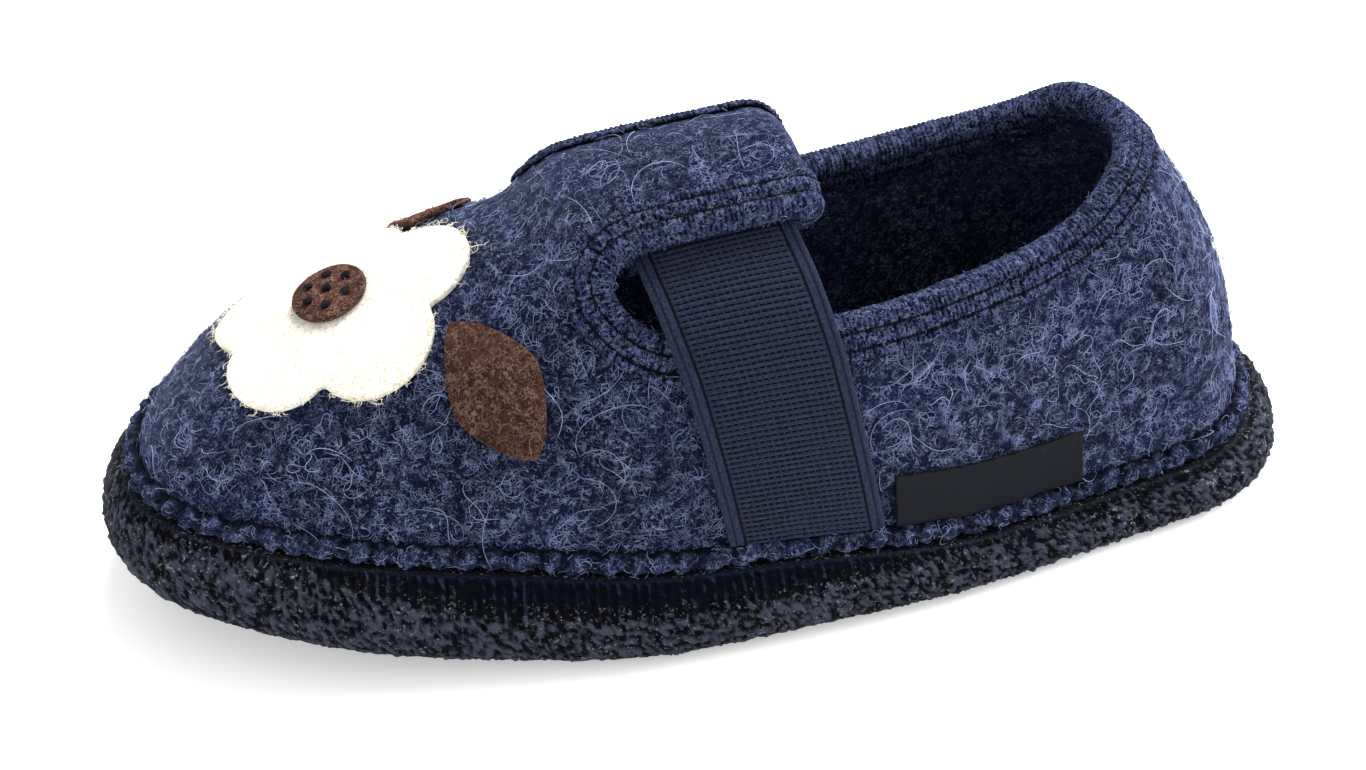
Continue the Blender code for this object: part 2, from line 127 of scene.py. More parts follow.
MERGE = 0.00005
STEP = 0.001
TURN = np.pi


def table(names, *rows):
    """Named columns from rows of values."""
    return {name: np.array(column, float) for name, column in zip(names.split(), zip(*rows))}


# Half width as a share of half the local width; swing of the middle as a share of the ball width
PLAN = table(
    "along half swing",
    (0.000, 0.000, 0.000),
    (0.035, 0.695, 0.000),
    (0.100, 0.935, 0.000),
    (0.200, 1.080, 0.000),
    (0.340, 1.115, 0.052),
    (0.480, 1.020, 0.074),
    (0.600, 0.996, 0.036),
    (0.700, 0.992, -0.030),
    (0.800, 0.940, -0.062),
    (0.890, 0.803, -0.080),
    (0.960, 0.520, -0.045),
    (1.000, 0.000, 0.000))

# Seam as a share of the side height, crown as a share of the instep height
HEIGHTS = table(
    "along seam crown",
    (0.00, 0.595, 1.145),
    (0.20, 0.56, 1.12),
    (0.30, 0.62, 1.10),
    (0.45, 0.87, 1.08),
    (0.60, 0.965, 1.005),
    (0.72, 1.015, 0.834),
    (0.85, 1.003, 0.661),
    (1.00, 0.958, 0.485))

# How far the sole stands out beyond the seam, as a share of its flare
FLARE = table(
    "along share",
    (0.00, 1.05),
    (0.08, 1.28),
    (0.20, 1.22),
    (0.36, 0.98),
    (0.50, 1.02),
    (0.64, 1.30),
    (0.80, 1.40),
    (0.93, 1.25),
    (1.00, 1.05))

# Felt edge round the foot opening, as a share of the heel height
COLLAR = table(
    "along height",
    (0.000, 0.930),
    (0.060, 0.908),
    (0.115, 0.858),
    (0.193, 0.800),
    (0.264, 0.778),
    (0.340, 0.763),
    (0.450, 0.759),
    (0.620, 0.775))

# Elastic: middle as a share of the length, how far it is over the tape and in the tab's fold
STRAP = table(
    "v middle over_tape in_fold",
    (0.000, 0.460, 0.05, 0.00),
    (0.180, 0.473, 0.14, 0.00),
    (0.320, 0.483, 0.72, 0.00),
    (0.380, 0.487, 1.05, 0.00),
    (0.500, 0.496, 1.09, 0.00),
    (0.560, 0.500, 0.79, 0.00),
    (0.640, 0.505, 0.31, 0.36),
    (0.720, 0.509, 0.00, 0.82),
    (0.780, 0.509, 0.00, 1.00),
    (1.000, 0.509, 0.00, 1.00))


def spline(xs, ys, x):
    """Natural cubic spline through two columns."""
    x = np.asarray(x, float)
    count = len(xs)
    step = np.diff(xs)
    rows = np.eye(count)
    right = np.zeros(count)
    for i in range(1, count - 1):
        rows[i, i - 1:i + 2] = step[i - 1], 2 * (step[i - 1] + step[i]), step[i]
        right[i] = 6 * ((ys[i + 1] - ys[i]) / step[i] - (ys[i] - ys[i - 1]) / step[i - 1])
    bend = np.linalg.solve(rows, right)
    i = np.clip(np.searchsorted(xs, x) - 1, 0, count - 2)
    after, before = xs[i + 1] - x, x - xs[i]
    curved = (bend[i] * after ** 3 + bend[i + 1] * before ** 3) / (6 * step[i])
    start = (ys[i] / step[i] - bend[i] * step[i] / 6) * after
    return curved + start + (ys[i + 1] / step[i] - bend[i + 1] * step[i] / 6) * before


def unit(vectors):
    return vectors / np.linalg.norm(vectors, axis=-1, keepdims=True)


def run_along(points):
    """Distance along a line of points, at each of them."""
    return np.concatenate([[0], np.cumsum(np.linalg.norm(np.diff(points, axis=0), axis=1))])


def smooth(share):
    """A share held between 0 and 1 and eased at both ends."""
    share = np.clip(share, 0, 1)
    return share * share * (3 - 2 * share)


def angle_at(along):
    """Positive u of the rib at a share of the length."""
    return np.arccos(1 - 2 * np.asarray(along, float))


def along_at(u):
    return (1 - np.cos(u)) / 2


def lift(along):
    """Height of the sole's underside: toe spring and the heel's small rise."""
    toe = np.clip((along - SPRING_START) / (1 - SPRING_START), 0, None)
    heel = np.clip(1 - along / HEEL_LIFT_END, 0, None)
    return TOE_SPRING * toe ** SPRING_CURVE + HEEL_SPRING * heel ** 2


def seam_height(u):
    along = along_at(u)
    return SIDE_HEIGHT * spline(HEIGHTS["along"], HEIGHTS["seam"], along) + lift(along)


def flare(u):
    return SOLE_FLARE * spline(FLARE["along"], FLARE["share"], along_at(u))


def crown_height(along):
    return INSTEP_HEIGHT * spline(HEIGHTS["along"], HEIGHTS["crown"], along) + lift(along)


def half_and_swing(tau):
    """Half width and sideways swing of the sole's outline; tau is u without its sign."""
    along = PLAN["along"]
    at = angle_at(along)
    growth = smooth((along - WAIST_START) / (WAIST_END - WAIST_START))
    width = HEEL_WIDTH + (BALL_WIDTH - HEEL_WIDTH) * growth
    fullness = np.empty(len(at))
    fullness[1:-1] = PLAN["half"][1:-1] * width[1:-1] / 2 / np.sin(at[1:-1])
    fullness[0] = np.sqrt(HEEL_RADIUS * LENGTH / 2)
    fullness[-1] = np.sqrt(TOE_RADIUS * LENGTH / 2)
    return spline(at, fullness, tau) * np.sin(tau), spline(at, PLAN["swing"] * BALL_WIDTH, tau)


def outline(u, out=0.0):
    """Plan point of the sole's outline, moved outward by out."""
    def point(angle):
        angle = (angle + TURN) % (2 * TURN) - TURN
        half, swing = half_and_swing(np.abs(angle))
        return np.stack([-LENGTH / 2 * np.cos(angle), swing + np.sign(angle) * half], -1)
    u = np.asarray(u, float)
    run = point(u + STEP) - point(u - STEP)
    normal = unit(np.stack([-run[..., 1], run[..., 0]], -1))
    return point(u) + normal * np.broadcast_to(out, u.shape)[..., None]


def last_point(u, v):
    """Point on the last: each rib is a quarter of an ellipse from the seam to the ridge."""
    u, v = np.broadcast_arrays(np.asarray(u, float), np.asarray(v, float))
    foot = outline(u, -SEAM_INSET)
    pivot = angle_at(np.clip(along_at(u), HEEL_PIVOT, TOE_PIVOT))
    ridge = np.stack([-LENGTH / 2 * np.cos(pivot), half_and_swing(pivot)[1]], -1)
    turn = v * TURN / 2
    plan = foot + (ridge - foot) * (1 - np.cos(turn))[..., None]
    base = seam_height(u)
    crown = crown_height(plan[..., 0] / LENGTH + 0.5)
    return np.concatenate([plan, (base + (crown - base) * np.sin(turn))[..., None]], -1)


def normal_at(u, v):
    v = np.clip(v, 0, 1 - 2 * STEP)
    run = last_point(u + STEP, v) - last_point(u - STEP, v)
    rise = last_point(u, v + STEP) - last_point(u, v - STEP)
    return unit(np.cross(rise, run))


def raised(u, v):
    """Height of the tab and the swell in front of it over the last."""
    along = along_at(u)
    front = smooth((RAISE_START - along) / (RAISE_START - RAISE_FULL))
    rear = smooth((along - RAISE_BACK) / (TAB_END - RAISE_BACK))
    return TAB_RAISE * front * rear * smooth((v - RAISE_SHARE) / (TAB_SHARE - RAISE_SHARE))


def off_last(u, v, out):
    """Point at a height over the last."""
    return last_point(u, v) + normal_at(u, v) * np.asarray(out, float)[..., None]


def body(u, v, out=0.0):
    """The quarters' and vamp's outer face, moved outward by out."""
    u, v, out = np.broadcast_arrays(*(np.asarray(a, float) for a in (u, v, out)))
    return off_last(u, v, out + raised(u, v))


def tab(reach, v, side, out=0.0):
    """The tab's outer face. Reach is the length left before the fold, negative round and under it."""
    reach, v, side, out = np.broadcast_arrays(*(np.asarray(a, float) for a in (reach, v, side, out)))
    arc = TURN * FOLD_RADIUS
    above = np.clip(reach, 0, None)
    below = np.clip(-arc - reach, 0, None)
    u = side * angle_at(TAB_END + (above + below) / LENGTH)
    bend = np.clip(-reach / FOLD_RADIUS, 0, TURN)
    back = unit(last_point(u - side * STEP, v) - last_point(u + side * STEP, v))
    sunk = np.where(reach > 0, TAB_RAISE - raised(u, v), 0)
    radius = FOLD_RADIUS + out
    height = TAB_RAISE - FOLD_RADIUS - sunk + radius * np.cos(bend)
    return off_last(u, v, height) + back * (radius * np.sin(bend))[..., None]


def share_above_seam(u, height):
    """v of the place on a rib that lies a height over the seam."""
    return np.arcsin(height / (crown_height(along_at(u)) - seam_height(u))) / (TURN / 2)


def collar_share(u):
    """v of the felt edge round the foot opening."""
    target = HEEL_HEIGHT * spline(COLLAR["along"], COLLAR["height"], along_at(u))
    base = seam_height(u)
    v = np.full(np.shape(u), 0.5)
    for _ in range(12):
        crown = crown_height(last_point(u, v)[..., 0] / LENGTH + 0.5)
        v = np.arcsin(np.clip((target - base) / (crown - base), 0, 1)) / (TURN / 2)
    return v


def notch_opening(u):
    """How far the notch is open at a rib: 0 at its tip, 1 behind its round end."""
    behind = (NOTCH_TIP - along_at(u)) * LENGTH
    ahead = 1 - np.clip(behind / NOTCH_LENGTH, 0, 1)
    return np.sqrt(np.clip(1 - ahead ** 2, 0, 1))


def quarter_edge(u):
    u = np.minimum(np.abs(u), angle_at(NOTCH_TIP))
    return TIP_SHARE - (TIP_SHARE - collar_share(u)) * notch_opening(u)


def tab_edge(u):
    return TIP_SHARE + (TAB_SHARE - TIP_SHARE) * notch_opening(u)


def rib_angles():
    """Positive u of the ribs, close together at the heel and round the notch."""
    heel = np.concatenate([np.linspace(0, 0.9, 10), np.linspace(1.03, angle_at(TAB_END), 4)])
    tip = NOTCH_TIP - NOTCH_LENGTH / LENGTH * (1 - np.cos(np.linspace(TURN / 2, 0, 6)))
    straight = np.linspace(TAB_END, tip[0], 5)[1:-1]
    swell = np.linspace(NOTCH_TIP, RAISE_START, 6)[1:]
    toe = np.linspace(angle_at(RAISE_START), TURN, 12)[1:]
    return np.concatenate([heel, angle_at(straight), angle_at(tip), angle_at(swell), toe])


RIBS = rib_angles()


def felt_face(kind, side, first, v, out):
    """The felt's outer face; first is the reach on the tab and the unsigned u on the body."""
    if kind == "tab":
        return tab(first, v, side, out)
    return body(side * first, v, out)


def edge_path():
    """Stations on the bound felt edge, from under the tab round notch and collar to the other side."""
    arc = TURN * FOLD_RADIUS
    under = -arc - np.linspace((TAPE_END - TAB_END) * LENGTH, 0, 8)
    fold = -np.linspace(arc, 0, 9)[1:]
    straight = np.linspace(0, (NOTCH_TIP - TAB_END) * LENGTH - NOTCH_LENGTH, 6)[1:]
    half = [("tab", reach, TAB_SHARE) for reach in np.concatenate([under, fold, straight])]
    behind = NOTCH_LENGTH * (1 - np.cos(np.linspace(TURN / 2, 0, 11)))
    notch = angle_at(NOTCH_TIP - behind / LENGTH)
    half += [("body", u, float(tab_edge(u))) for u in notch[1:]]
    collar = np.concatenate([notch[::-1][1:], np.linspace(notch[0], 0.6, 13)[1:], np.linspace(0.52, 0, 8)])
    half += [("body", u, float(quarter_edge(u))) for u in collar]
    outer = [(kind, 1, first, v) for kind, first, v in half]
    inner = [(kind, -1, first, v) for kind, first, v in half[:-1]]
    return outer + inner[::-1]


def edge_stations():
    """The path's stations, each with the steps of (first, v) for one metre straight into the felt."""
    path = edge_path()
    run = np.gradient(np.array([felt_face(*place, 0.0) for place in path]), axis=0)
    stations = []
    for (kind, side, first, v), direction in zip(path, run):
        by_first = felt_face(kind, side, first + STEP, v, 0) - felt_face(kind, side, first - STEP, v, 0)
        by_v = felt_face(kind, side, first, v + STEP, 0) - felt_face(kind, side, first, v - STEP, 0)
        inward = unit(np.cross(direction, side * np.cross(by_v, by_first)))
        both = np.stack([by_first, by_v], 1) / (2 * STEP)
        stations.append((kind, side, first, v, np.linalg.lstsq(both, inward, rcond=None)[0]))
    return stations


def vamp_place(ahead, across):
    """(u, v) of a place on the vamp, measured along the felt from the toe pivot on the ridge."""
    side = 1 if across >= 0 else -1
    if ahead <= 0:
        u = angle_at(TOE_PIVOT + ahead / LENGTH)
    else:
        ribs = np.linspace(angle_at(TOE_PIVOT), TURN, 60)
        pivot = last_point(angle_at(TOE_PIVOT), 1.0)
        foot = last_point(side * ribs, 0.0) - pivot
        bearing = np.arctan2(side * foot[:, 1], foot[:, 0])
        u = np.interp(-np.arctan2(abs(across), ahead), -bearing, ribs)
    shares = np.linspace(1, 0, 41)
    rib = last_point(side * u, shares)
    run = run_along(rib)
    distance = abs(across) if ahead <= 0 else np.hypot(ahead, across)
    return side * u, np.interp(distance, run, shares)


def petal_edge(turn):
    bulge = np.abs(np.sin(PETALS * turn / 2)) ** PETAL_ROUNDNESS
    return FLOWER_RADIUS * (1 - PETAL_DEPTH + PETAL_DEPTH * bulge)


def leaf_edge(heading):
    """Outline of a pointed leaf lying along a heading."""
    def radius(turn):
        along = 2 * np.abs(np.cos(turn - heading)) / LEAF_LENGTH
        across = 2 * np.abs(np.sin(turn - heading)) / LEAF_WIDTH
        return (along ** LEAF_FULLNESS + across ** LEAF_FULLNESS) ** (-1 / LEAF_FULLNESS)
    return radius


# How finely the shown grids are divided: times finer than the ribs, or metres between stations
FINE = 4
FUZZ_FINE = 3
PER_PITCH = 4
SEAM_STEP = 0.0006
SOLE_STEP = 0.00055
SOCK_STEP = 0.004

# A point inside the shoe that all its outer faces look away from
MIDDLE = np.array([0.0, 0.0, 0.02])

# Lumps of the felt: depth, and the sizes of the wide and the small ones
LUMP = 0.00022
LUMP_WIDE = 0.006
LUMP_SMALL = 0.0017

# Knit tape: ribs, fluff, the swell between stitch lines, and the stitches
RIB_PITCH = 0.00085
RIB_DEPTH = 0.00013
TAPE_ROUND = 0.0006
TAPE_FLUFF = 0.00016
TAPE_FLUFF_SIZE = 0.0009
TAPE_SWELL = 0.00022
STITCH_LINES = (0.0021, 0.0049)
STITCH_DEPTH = 0.00028
STITCH_HALF = 0.00032

# Woven elastic: its rows, and grooves along the selvedge and near the rim
WEFT_PITCH = 0.00098
WARP_PITCH = 0.00115
WEAVE_DEPTH = 0.00016
SELVEDGE = 0.0026
SELVEDGE_EASE = 0.0006
RIM_GROOVE = 0.0012
RIM_SHADE = 0.0011
RIM_SHARE = 0.6
GROOVE_DEPTH = 0.00018
GROOVE_HALF = 0.0003

# Overedge seam: puckers and fluff; sole: grit, and the knit band's wales
PUCKER_PITCH = 0.0046
PUCKER_DEPTH = 0.15
PUCKER_RIPPLE = 0.05
SEAM_FLUFF = 0.00035
SEAM_FLUFF_SIZE = 0.0013
SEAM_WAVE = 0.0002
SEAM_WAVE_SIZE = 0.0045
YARN_PITCH = 0.0012
GRIT = 0.00055
GRIT_SIZE = 0.00095
WALE_PITCH = 0.0017
WALE_DEPTH = 0.00024
WALE_SUNK = 0.0003
KNIT_FROM = 0.32
KNIT_TO = 0.90
KNIT_EASE = 0.2
KNIT_BAND = 0.24
KNIT_START = 0.86

# Label and knots: how far they lie off, and the sizes of their waves
LAID = 0.0002
LABEL_STATIONS = 73
LABEL_RIPPLE = 0.00018
LABEL_CURL = 0.0003
KNOT_RING = 0.0038
KNOT_WIDTH = 0.0009
KNOT_HEIGHT = 0.0005
KNOT_ROUGH = 0.00008

# Loose fibres: length, height over the cloth and size of a curl
FUZZ = 0.0016, 0.00022, 0.0009
FIBRE = 0.0030, 0.00025, 0.0013
LONG_FIBRE = 0.008, 0.0012, 0.0028
FIBRE_RADIUS = 0.000052
FIBRE_OFF = 0.00005
BEND_LIMIT = 3.2
OUTER_FIBRES = 6200
INNER_FIBRES = 3400
LONG_FIBRES = 150
COVER_REACH = 0.004
ROOT_SPREAD = 0.0002
HEEL_FIBRES_END = 1.35
FRONT_FIBRES_START = 1.3
RANDOM = np.random.default_rng(7)

# Light: each lamp's place, width and power, and the point that all of them face
WORLD_LIGHT = 0.9
FLOOR_GLOW = 0.36
FLOOR_HALF = 3.0
LAMPS = (("key", (-0.30, -0.40, 0.95), 0.6, 16.0),
         ("side", (-0.95, 0.10, 0.50), 0.4, 7.0),
         ("fill", (0.5, 0.9, 0.55), 0.8, 1.5))
LIT_POINT = 0, 0, 0.03


def closer(values, times):
    """More values evenly between the given ones."""
    count = len(values)
    return np.interp(np.linspace(0, count - 1, (count - 1) * times + 1), np.arange(count), values)


def lumps(points, size, seed=0.0, octaves=3):
    """Smooth noise from -1 to 1 at each point; size is that of its lumps."""
    flat = np.reshape(points, (-1, 3)) / size + seed
    values = [noise.fractal(p, 0.6, 2.1, octaves) for p in flat.tolist()]
    return np.clip(np.reshape(values, np.shape(points)[:-1]), -1, 1)


def grid_normals(grid):
    across = np.gradient(grid, axis=1)
    along = np.gradient(grid, axis=0)
    normal = np.cross(along, across)
    length = np.linalg.norm(normal, axis=-1, keepdims=True)
    return normal / np.maximum(length, 1e-12)


def outward(grid, column=slice(None)):
    """The grid's normals, turned so that the given column's look away from the shoe's middle."""
    normal = grid_normals(grid)
    return normal * np.sign(np.sum(normal[:, column] * (grid[:, column] - MIDDLE)))


def closed(values):
    """A grid with its first column repeated at its end."""
    return np.concatenate([values, values[:, :1]], 1)


def thicken(piece, thickness, offset):
    wall = piece.modifiers.new("wall", "SOLIDIFY")
    wall.thickness = thickness
    wall.offset = offset


def mesh_of(name, points, faces):
    mesh = bpy.data.meshes.new(name)
    mesh.from_pydata(points.reshape(-1, 3).tolist(), [], faces.reshape(-1, 4).tolist())
    return mesh


def linked(name, data):
    made = bpy.data.objects.new(name, data)
    bpy.context.scene.collection.objects.link(made)
    return made


def dressed(name, mesh, look):
    """A smooth piece that rides the model's body."""
    mesh.shade_smooth()
    mesh.materials.append(look)
    made = linked(name, mesh)
    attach(made, "root")
    return made


def placed(axes, at):
    """Matrix that stands at a place with the given axes."""
    return Matrix([[*row, shift] for row, shift in zip(np.stack(axes, 1), at)] + [[0, 0, 0, 1]])


def grid_faces(rows, columns, first=0, flip=False):
    corner = first + np.arange((rows - 1) * columns).reshape(rows - 1, columns)[:, :-1]
    faces = np.stack([corner, corner + columns, corner + columns + 1, corner + 1], -1).reshape(-1, 4)
    return faces[:, ::-1] if flip else faces


class Piece:
    """Grids gathered into one smooth mesh that stands for a node of the model."""

    def __init__(self):
        self.points = []
        self.faces = []
        self.maps = []
        self.count = 0

    def add(self, grid, flip=False, along=0.0, across=0.0, crest=0.5):
        """A grid of points, with their places on the cloth and their relief, 1 on crests."""
        rows, columns = grid.shape[:2]
        self.faces.append(grid_faces(rows, columns, self.count, flip))
        self.points.append(grid.reshape(-1, 3))
        places = [np.broadcast_to(value, (rows, columns)) for value in (along, across, crest)]
        self.maps.append(np.stack(places, -1).reshape(-1, 3))
        self.count += rows * columns

    def build(self, name, look, nodes, merge=0.00002):
        mesh = mesh_of(name, np.concatenate(self.points), np.concatenate(self.faces))
        place = mesh.attributes.new("cloth", "FLOAT_VECTOR", "POINT")
        place.data.foreach_set("vector", np.concatenate(self.maps).ravel())
        work = bmesh.new()
        work.from_mesh(mesh)
        bmesh.ops.remove_doubles(work, verts=work.verts, dist=merge)
        bmesh.ops.recalc_face_normals(work, faces=work.faces)
        work.to_mesh(mesh)
        work.free()
        made = dressed(name, mesh, look)
        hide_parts(*nodes)
        return made


class Look:
    """A material under construction, with short names for its nodes."""

    def __init__(self, name, roughness, sheen=0.0, sheen_tint=(1, 1, 1)):
        self.made = bpy.data.materials.new(name)
        self.made.use_nodes = True
        self.tree = self.made.node_tree
        self.shader = self.tree.nodes["Principled BSDF"].inputs
        self.feed(self.shader["Roughness"], roughness)
        self.feed(self.shader["Sheen Weight"], sheen)
        self.feed(self.shader["Sheen Tint"], sheen_tint)
        self.feed(self.shader["Specular IOR Level"], 0.06)

    def feed(self, socket, value):
        """Join a socket to another node's output, or give it a number or colour."""
        if isinstance(value, bpy.types.NodeSocket):
            self.tree.links.new(value, socket)
        else:
            socket.default_value = (*value, 1) if socket.type == "RGBA" else value

    def node(self, kind, settings=None, **inputs):
        """A node; its inputs go by their names, or by i and a number."""
        made = self.tree.nodes.new("ShaderNode" + kind)
        for name, value in (settings or {}).items():
            setattr(made, name, value)
        for name, value in inputs.items():
            self.feed(made.inputs[int(name[1:]) if name[1:].isdigit() else name], value)
        return made

    def place(self):
        return self.node("TexCoord").outputs["Object"]

    def cloth(self):
        """Where a point is along and across its strip of cloth, and its relief, from which some looks paint
        shade in hollows and highlight on crests.
        """
        made = self.node("Attribute", {"attribute_name": "cloth"})
        return self.node("SeparateXYZ", Vector=made.outputs["Vector"]).outputs

    def math(self, operation, first, second=0.0):
        return self.node("Math", {"operation": operation}, i0=first, i1=second).outputs[0]

    def times(self, first, second):
        return self.math("MULTIPLY", first, second)

    def plus(self, first, second):
        return self.math("ADD", first, second)

    def minus(self, first, second):
        return self.math("SUBTRACT", first, second)

    def apart(self, first, second):
        return self.math("ABSOLUTE", self.minus(first, second))

    def wave(self, value, pitch):
        return self.math("SINE", self.times(value, 2 * TURN / pitch))

    def noise(self, scale, detail=2.0, rough=0.5, distortion=0.0, offset=None):
        where = self.place()
        if offset:
            where = self.node("VectorMath", {"operation": "ADD"}, i0=where, i1=offset).outputs[0]
        return self.node("TexNoise", Vector=where, Scale=scale, Detail=detail, Roughness=rough,
                         Distortion=distortion).outputs["Fac"]

    def band(self, value, low, high, start=0.0, end=1.0):
        """Smooth change from start to end as value goes from low to high."""
        inputs = {"Value": value, "From Min": low, "From Max": high, "To Min": start, "To Max": end}
        made = self.node("MapRange", {"interpolation_type": "SMOOTHSTEP"}, **inputs)
        return made.outputs["Result"]

    def mix(self, share, first, second):
        return self.node("Mix", {"data_type": "RGBA"}, i0=share, i6=first, i7=second).outputs[2]

    def hairs(self, scale, width, seeds):
        """Thin broken curls: where a smooth noise passes its middle value."""
        total = 0.0
        for seed in seeds:
            field = self.noise(scale, detail=1.0, distortion=0.8, offset=(seed, seed * 1.7, -seed))
            line = self.band(self.apart(field, 0.5), width * 0.3, width, 1.0, 0.0)
            breaks = self.noise(scale * 0.7, detail=0.0, offset=(-seed, seed, 2 * seed))
            total = self.math("MAXIMUM", total, self.times(line, self.band(breaks, 0.47, 0.58)))
        return total

    def finish(self, colour, relief=None, depth=0.0):
        """The finished material, with relief bumps of the given depth."""
        self.feed(self.shader["Base Color"], colour)
        if relief:
            bump = self.node("Bump", Height=relief, Distance=depth, Strength=1.0)
            self.feed(self.shader["Normal"], bump.outputs["Normal"])
        return self.made


def linear(red, green, blue):
    """Linear colour from the 0 to 255 values that a screen shows."""
    share = np.array([red, green, blue]) / 255
    curved = ((share + 0.055) / 1.055) ** 2.4
    return tuple(float(c) for c in np.where(share <= 0.04045, share / 12.92, curved))


NAVY = linear(4, 7, 24)
DENIM = linear(12, 20, 54)
HAIR_BLUE = linear(130, 141, 182)
HAIR_PALE = linear(160, 172, 208)
# Tape: its dark colour is painted shade in the dips between the ribs, and in the same way in the seam yarn
# and the sole's knit band; its light colour is partly painted highlight on the rib crests
TAPE_DARK = linear(3, 5, 15)
TAPE_LIGHT = linear(40, 47, 80)
STITCH_DARK = linear(3, 4, 9)
# Elastic: its dark colour is painted shade in the gaps of the weave and in the sunk grooves, and also a
# random darker tone
ELASTIC_DARK = linear(2, 3, 8)
ELASTIC_LIGHT = linear(41, 47, 73)
# Seam yarn: its light colour is partly painted highlight on the crests of the puckers
YARN_LIGHT = linear(42, 49, 78)
# Painted shade where the seam bead meets the felt above and the sole below
YARN_SHADE = linear(3, 4, 11)
# Sole: the dark colour is painted shade in the hollows between the grit's lumps; the light one and the knit
# band's colour are partly painted highlight on the lumps and wales
SOLE_DARK = linear(3, 4, 9)
SOLE_LIGHT = linear(62, 66, 80)
SOLE_KNIT = linear(40, 47, 76)
GRIT_WHITE = linear(170, 172, 176)
SOCK_DARK = linear(16, 20, 38)
SOCK_LIGHT = linear(30, 38, 66)
SOCK_HAIR = linear(60, 70, 104)
CREAM = linear(246, 243, 232)
CREAM_SHADE = linear(238, 232, 214)
CREAM_HAIR = linear(255, 252, 242)
CREAM_TIP = linear(230, 219, 190)
BROWN = linear(46, 28, 24)
BROWN_MID = linear(78, 50, 42)
BROWN_LIGHT = linear(140, 106, 94)
BROWN_TIP = linear(96, 62, 50)
LABEL_BLACK = linear(14, 15, 19)
LABEL_LIGHT = linear(30, 32, 38)
KNOT_BLACK = linear(10, 10, 12)
KNOT_LIGHT = linear(26, 26, 30)
FLOOR_PALE = 0.92, 0.92, 0.92


def felt_look(name, dark, light, hair, hair_scale=900, hair_width=0.025, contrast=0.6, hairy=0.7):
    look = Look(name, 0.95, sheen=0.25, sheen_tint=hair)
    clouds = look.band(look.noise(60, detail=4, rough=0.6), 0.36, 0.70, 0.1, 0.85)
    base = look.mix(clouds, dark, light)
    grain = look.band(look.noise(1300, detail=3, rough=0.7), 0.30, 0.75, 1 - contrast, 1 + contrast)
    dim = look.node("VectorMath", {"operation": "SCALE"}, i0=base, Scale=grain).outputs[0]
    lines = look.hairs(hair_scale, hair_width, (0.0, 0.31, 0.72, 1.13))
    patches = look.band(look.noise(90, detail=3), 0.34, 0.64, hairy * 0.5, hairy)
    relief = look.plus(look.times(lines, 0.5), look.noise(900, detail=4, rough=0.7))
    return look.finish(look.mix(look.times(lines, patches), dim, hair), relief, 0.0004)


def tape_look():
    look = Look("knit_tape", 0.9, sheen=0.25, sheen_tint=TAPE_LIGHT)
    _, across, crest = look.cloth()
    fluff = look.band(look.noise(1500, detail=3, rough=0.7), 0.30, 0.66, 0.15, 1.3)
    # Painted shade and highlight: darker in the dips between the ribs and in the sunk stitch lines, lighter
    # on the rib crests, varied at random by the fluff noise
    colour = look.mix(look.band(look.times(crest, fluff), 0.08, 0.95), TAPE_DARK, TAPE_LIGHT)
    lines = look.hairs(1100, 0.045, (0.2, 0.9, 1.4))
    colour = look.mix(look.times(lines, 0.36), colour, HAIR_BLUE)
    for line in STITCH_LINES:
        near = look.band(look.apart(across, line), 0.0001, 0.00034, 0.9, 0.0)
        colour = look.mix(near, colour, STITCH_DARK)
    return look.finish(colour, look.noise(2400, detail=4, rough=0.7), 0.00025)


def elastic_look():
    look = Look("woven_elastic", 0.75, sheen=0.05)
    along, across, _ = look.cloth()
    sway = look.times(look.minus(look.noise(160, detail=1), 0.5), 0.0004)
    weft = look.wave(look.plus(along, sway), WEFT_PITCH)
    warp = look.wave(across, WARP_PITCH)
    from_edge = look.math("MINIMUM", across, look.minus(ELASTIC_WIDTH, across))
    inside = look.band(from_edge, SELVEDGE, SELVEDGE + GROOVE_HALF)
    # Gaps of the weave and, below, the sunk grooves: darkened in the colour as painted shade and sunk by the
    # bump
    gap = look.times(look.band(weft, -0.85, 0.1, 1.0, 0.0), look.band(warp, -0.95, -0.35))
    gap = look.times(gap, inside)
    for line, depth in ((SELVEDGE, 1.0), (RIM_SHADE, RIM_SHARE)):
        groove = look.band(look.apart(from_edge, line), 0.0001, 0.00035, depth, 0.0)
        gap = look.math("MAXIMUM", gap, groove)
    speckle = look.band(look.noise(2600, detail=3, rough=0.7), 0.36, 0.66, 0.35, 1.0)
    # Painted shade: dark in the weave's gaps and grooves; the speckle also darkens it at random
    colour = look.mix(look.times(speckle, look.minus(1.0, gap)), ELASTIC_DARK, ELASTIC_LIGHT)
    return look.finish(colour, gap, -WEAVE_DEPTH)


def sole_look():
    look = Look("dipped_knit", 0.8)
    _, height, crest = look.cloth()
    worn = look.band(look.noise(130), 0.35, 0.65, 0.15, 0.8)
    speck = look.times(look.band(look.noise(1500, detail=3, rough=0.7), 0.58, 0.68), worn)
    # Painted shade and highlight from the relief: darker in the hollows between lumps and wales, lighter on
    # their tops, with random grain noise; it colours both the gritty side and the knit band
    grain = look.band(look.plus(crest, look.noise(2100, detail=3, rough=0.8)), 0.70, 1.45)
    dipped = look.mix(look.times(speck, 0.75), look.mix(grain, SOLE_DARK, SOLE_LIGHT), GRIT_WHITE)
    knit = look.mix(grain, TAPE_DARK, SOLE_KNIT)
    ragged = look.minus(look.noise(420, detail=3, rough=0.6), 0.5)
    edge = look.plus(height, look.times(ragged, 0.4))
    colour = look.mix(look.band(edge, 0.96, 1.10), dipped, knit)
    return look.finish(colour, look.noise(1700, detail=4, rough=0.75), 0.0006)


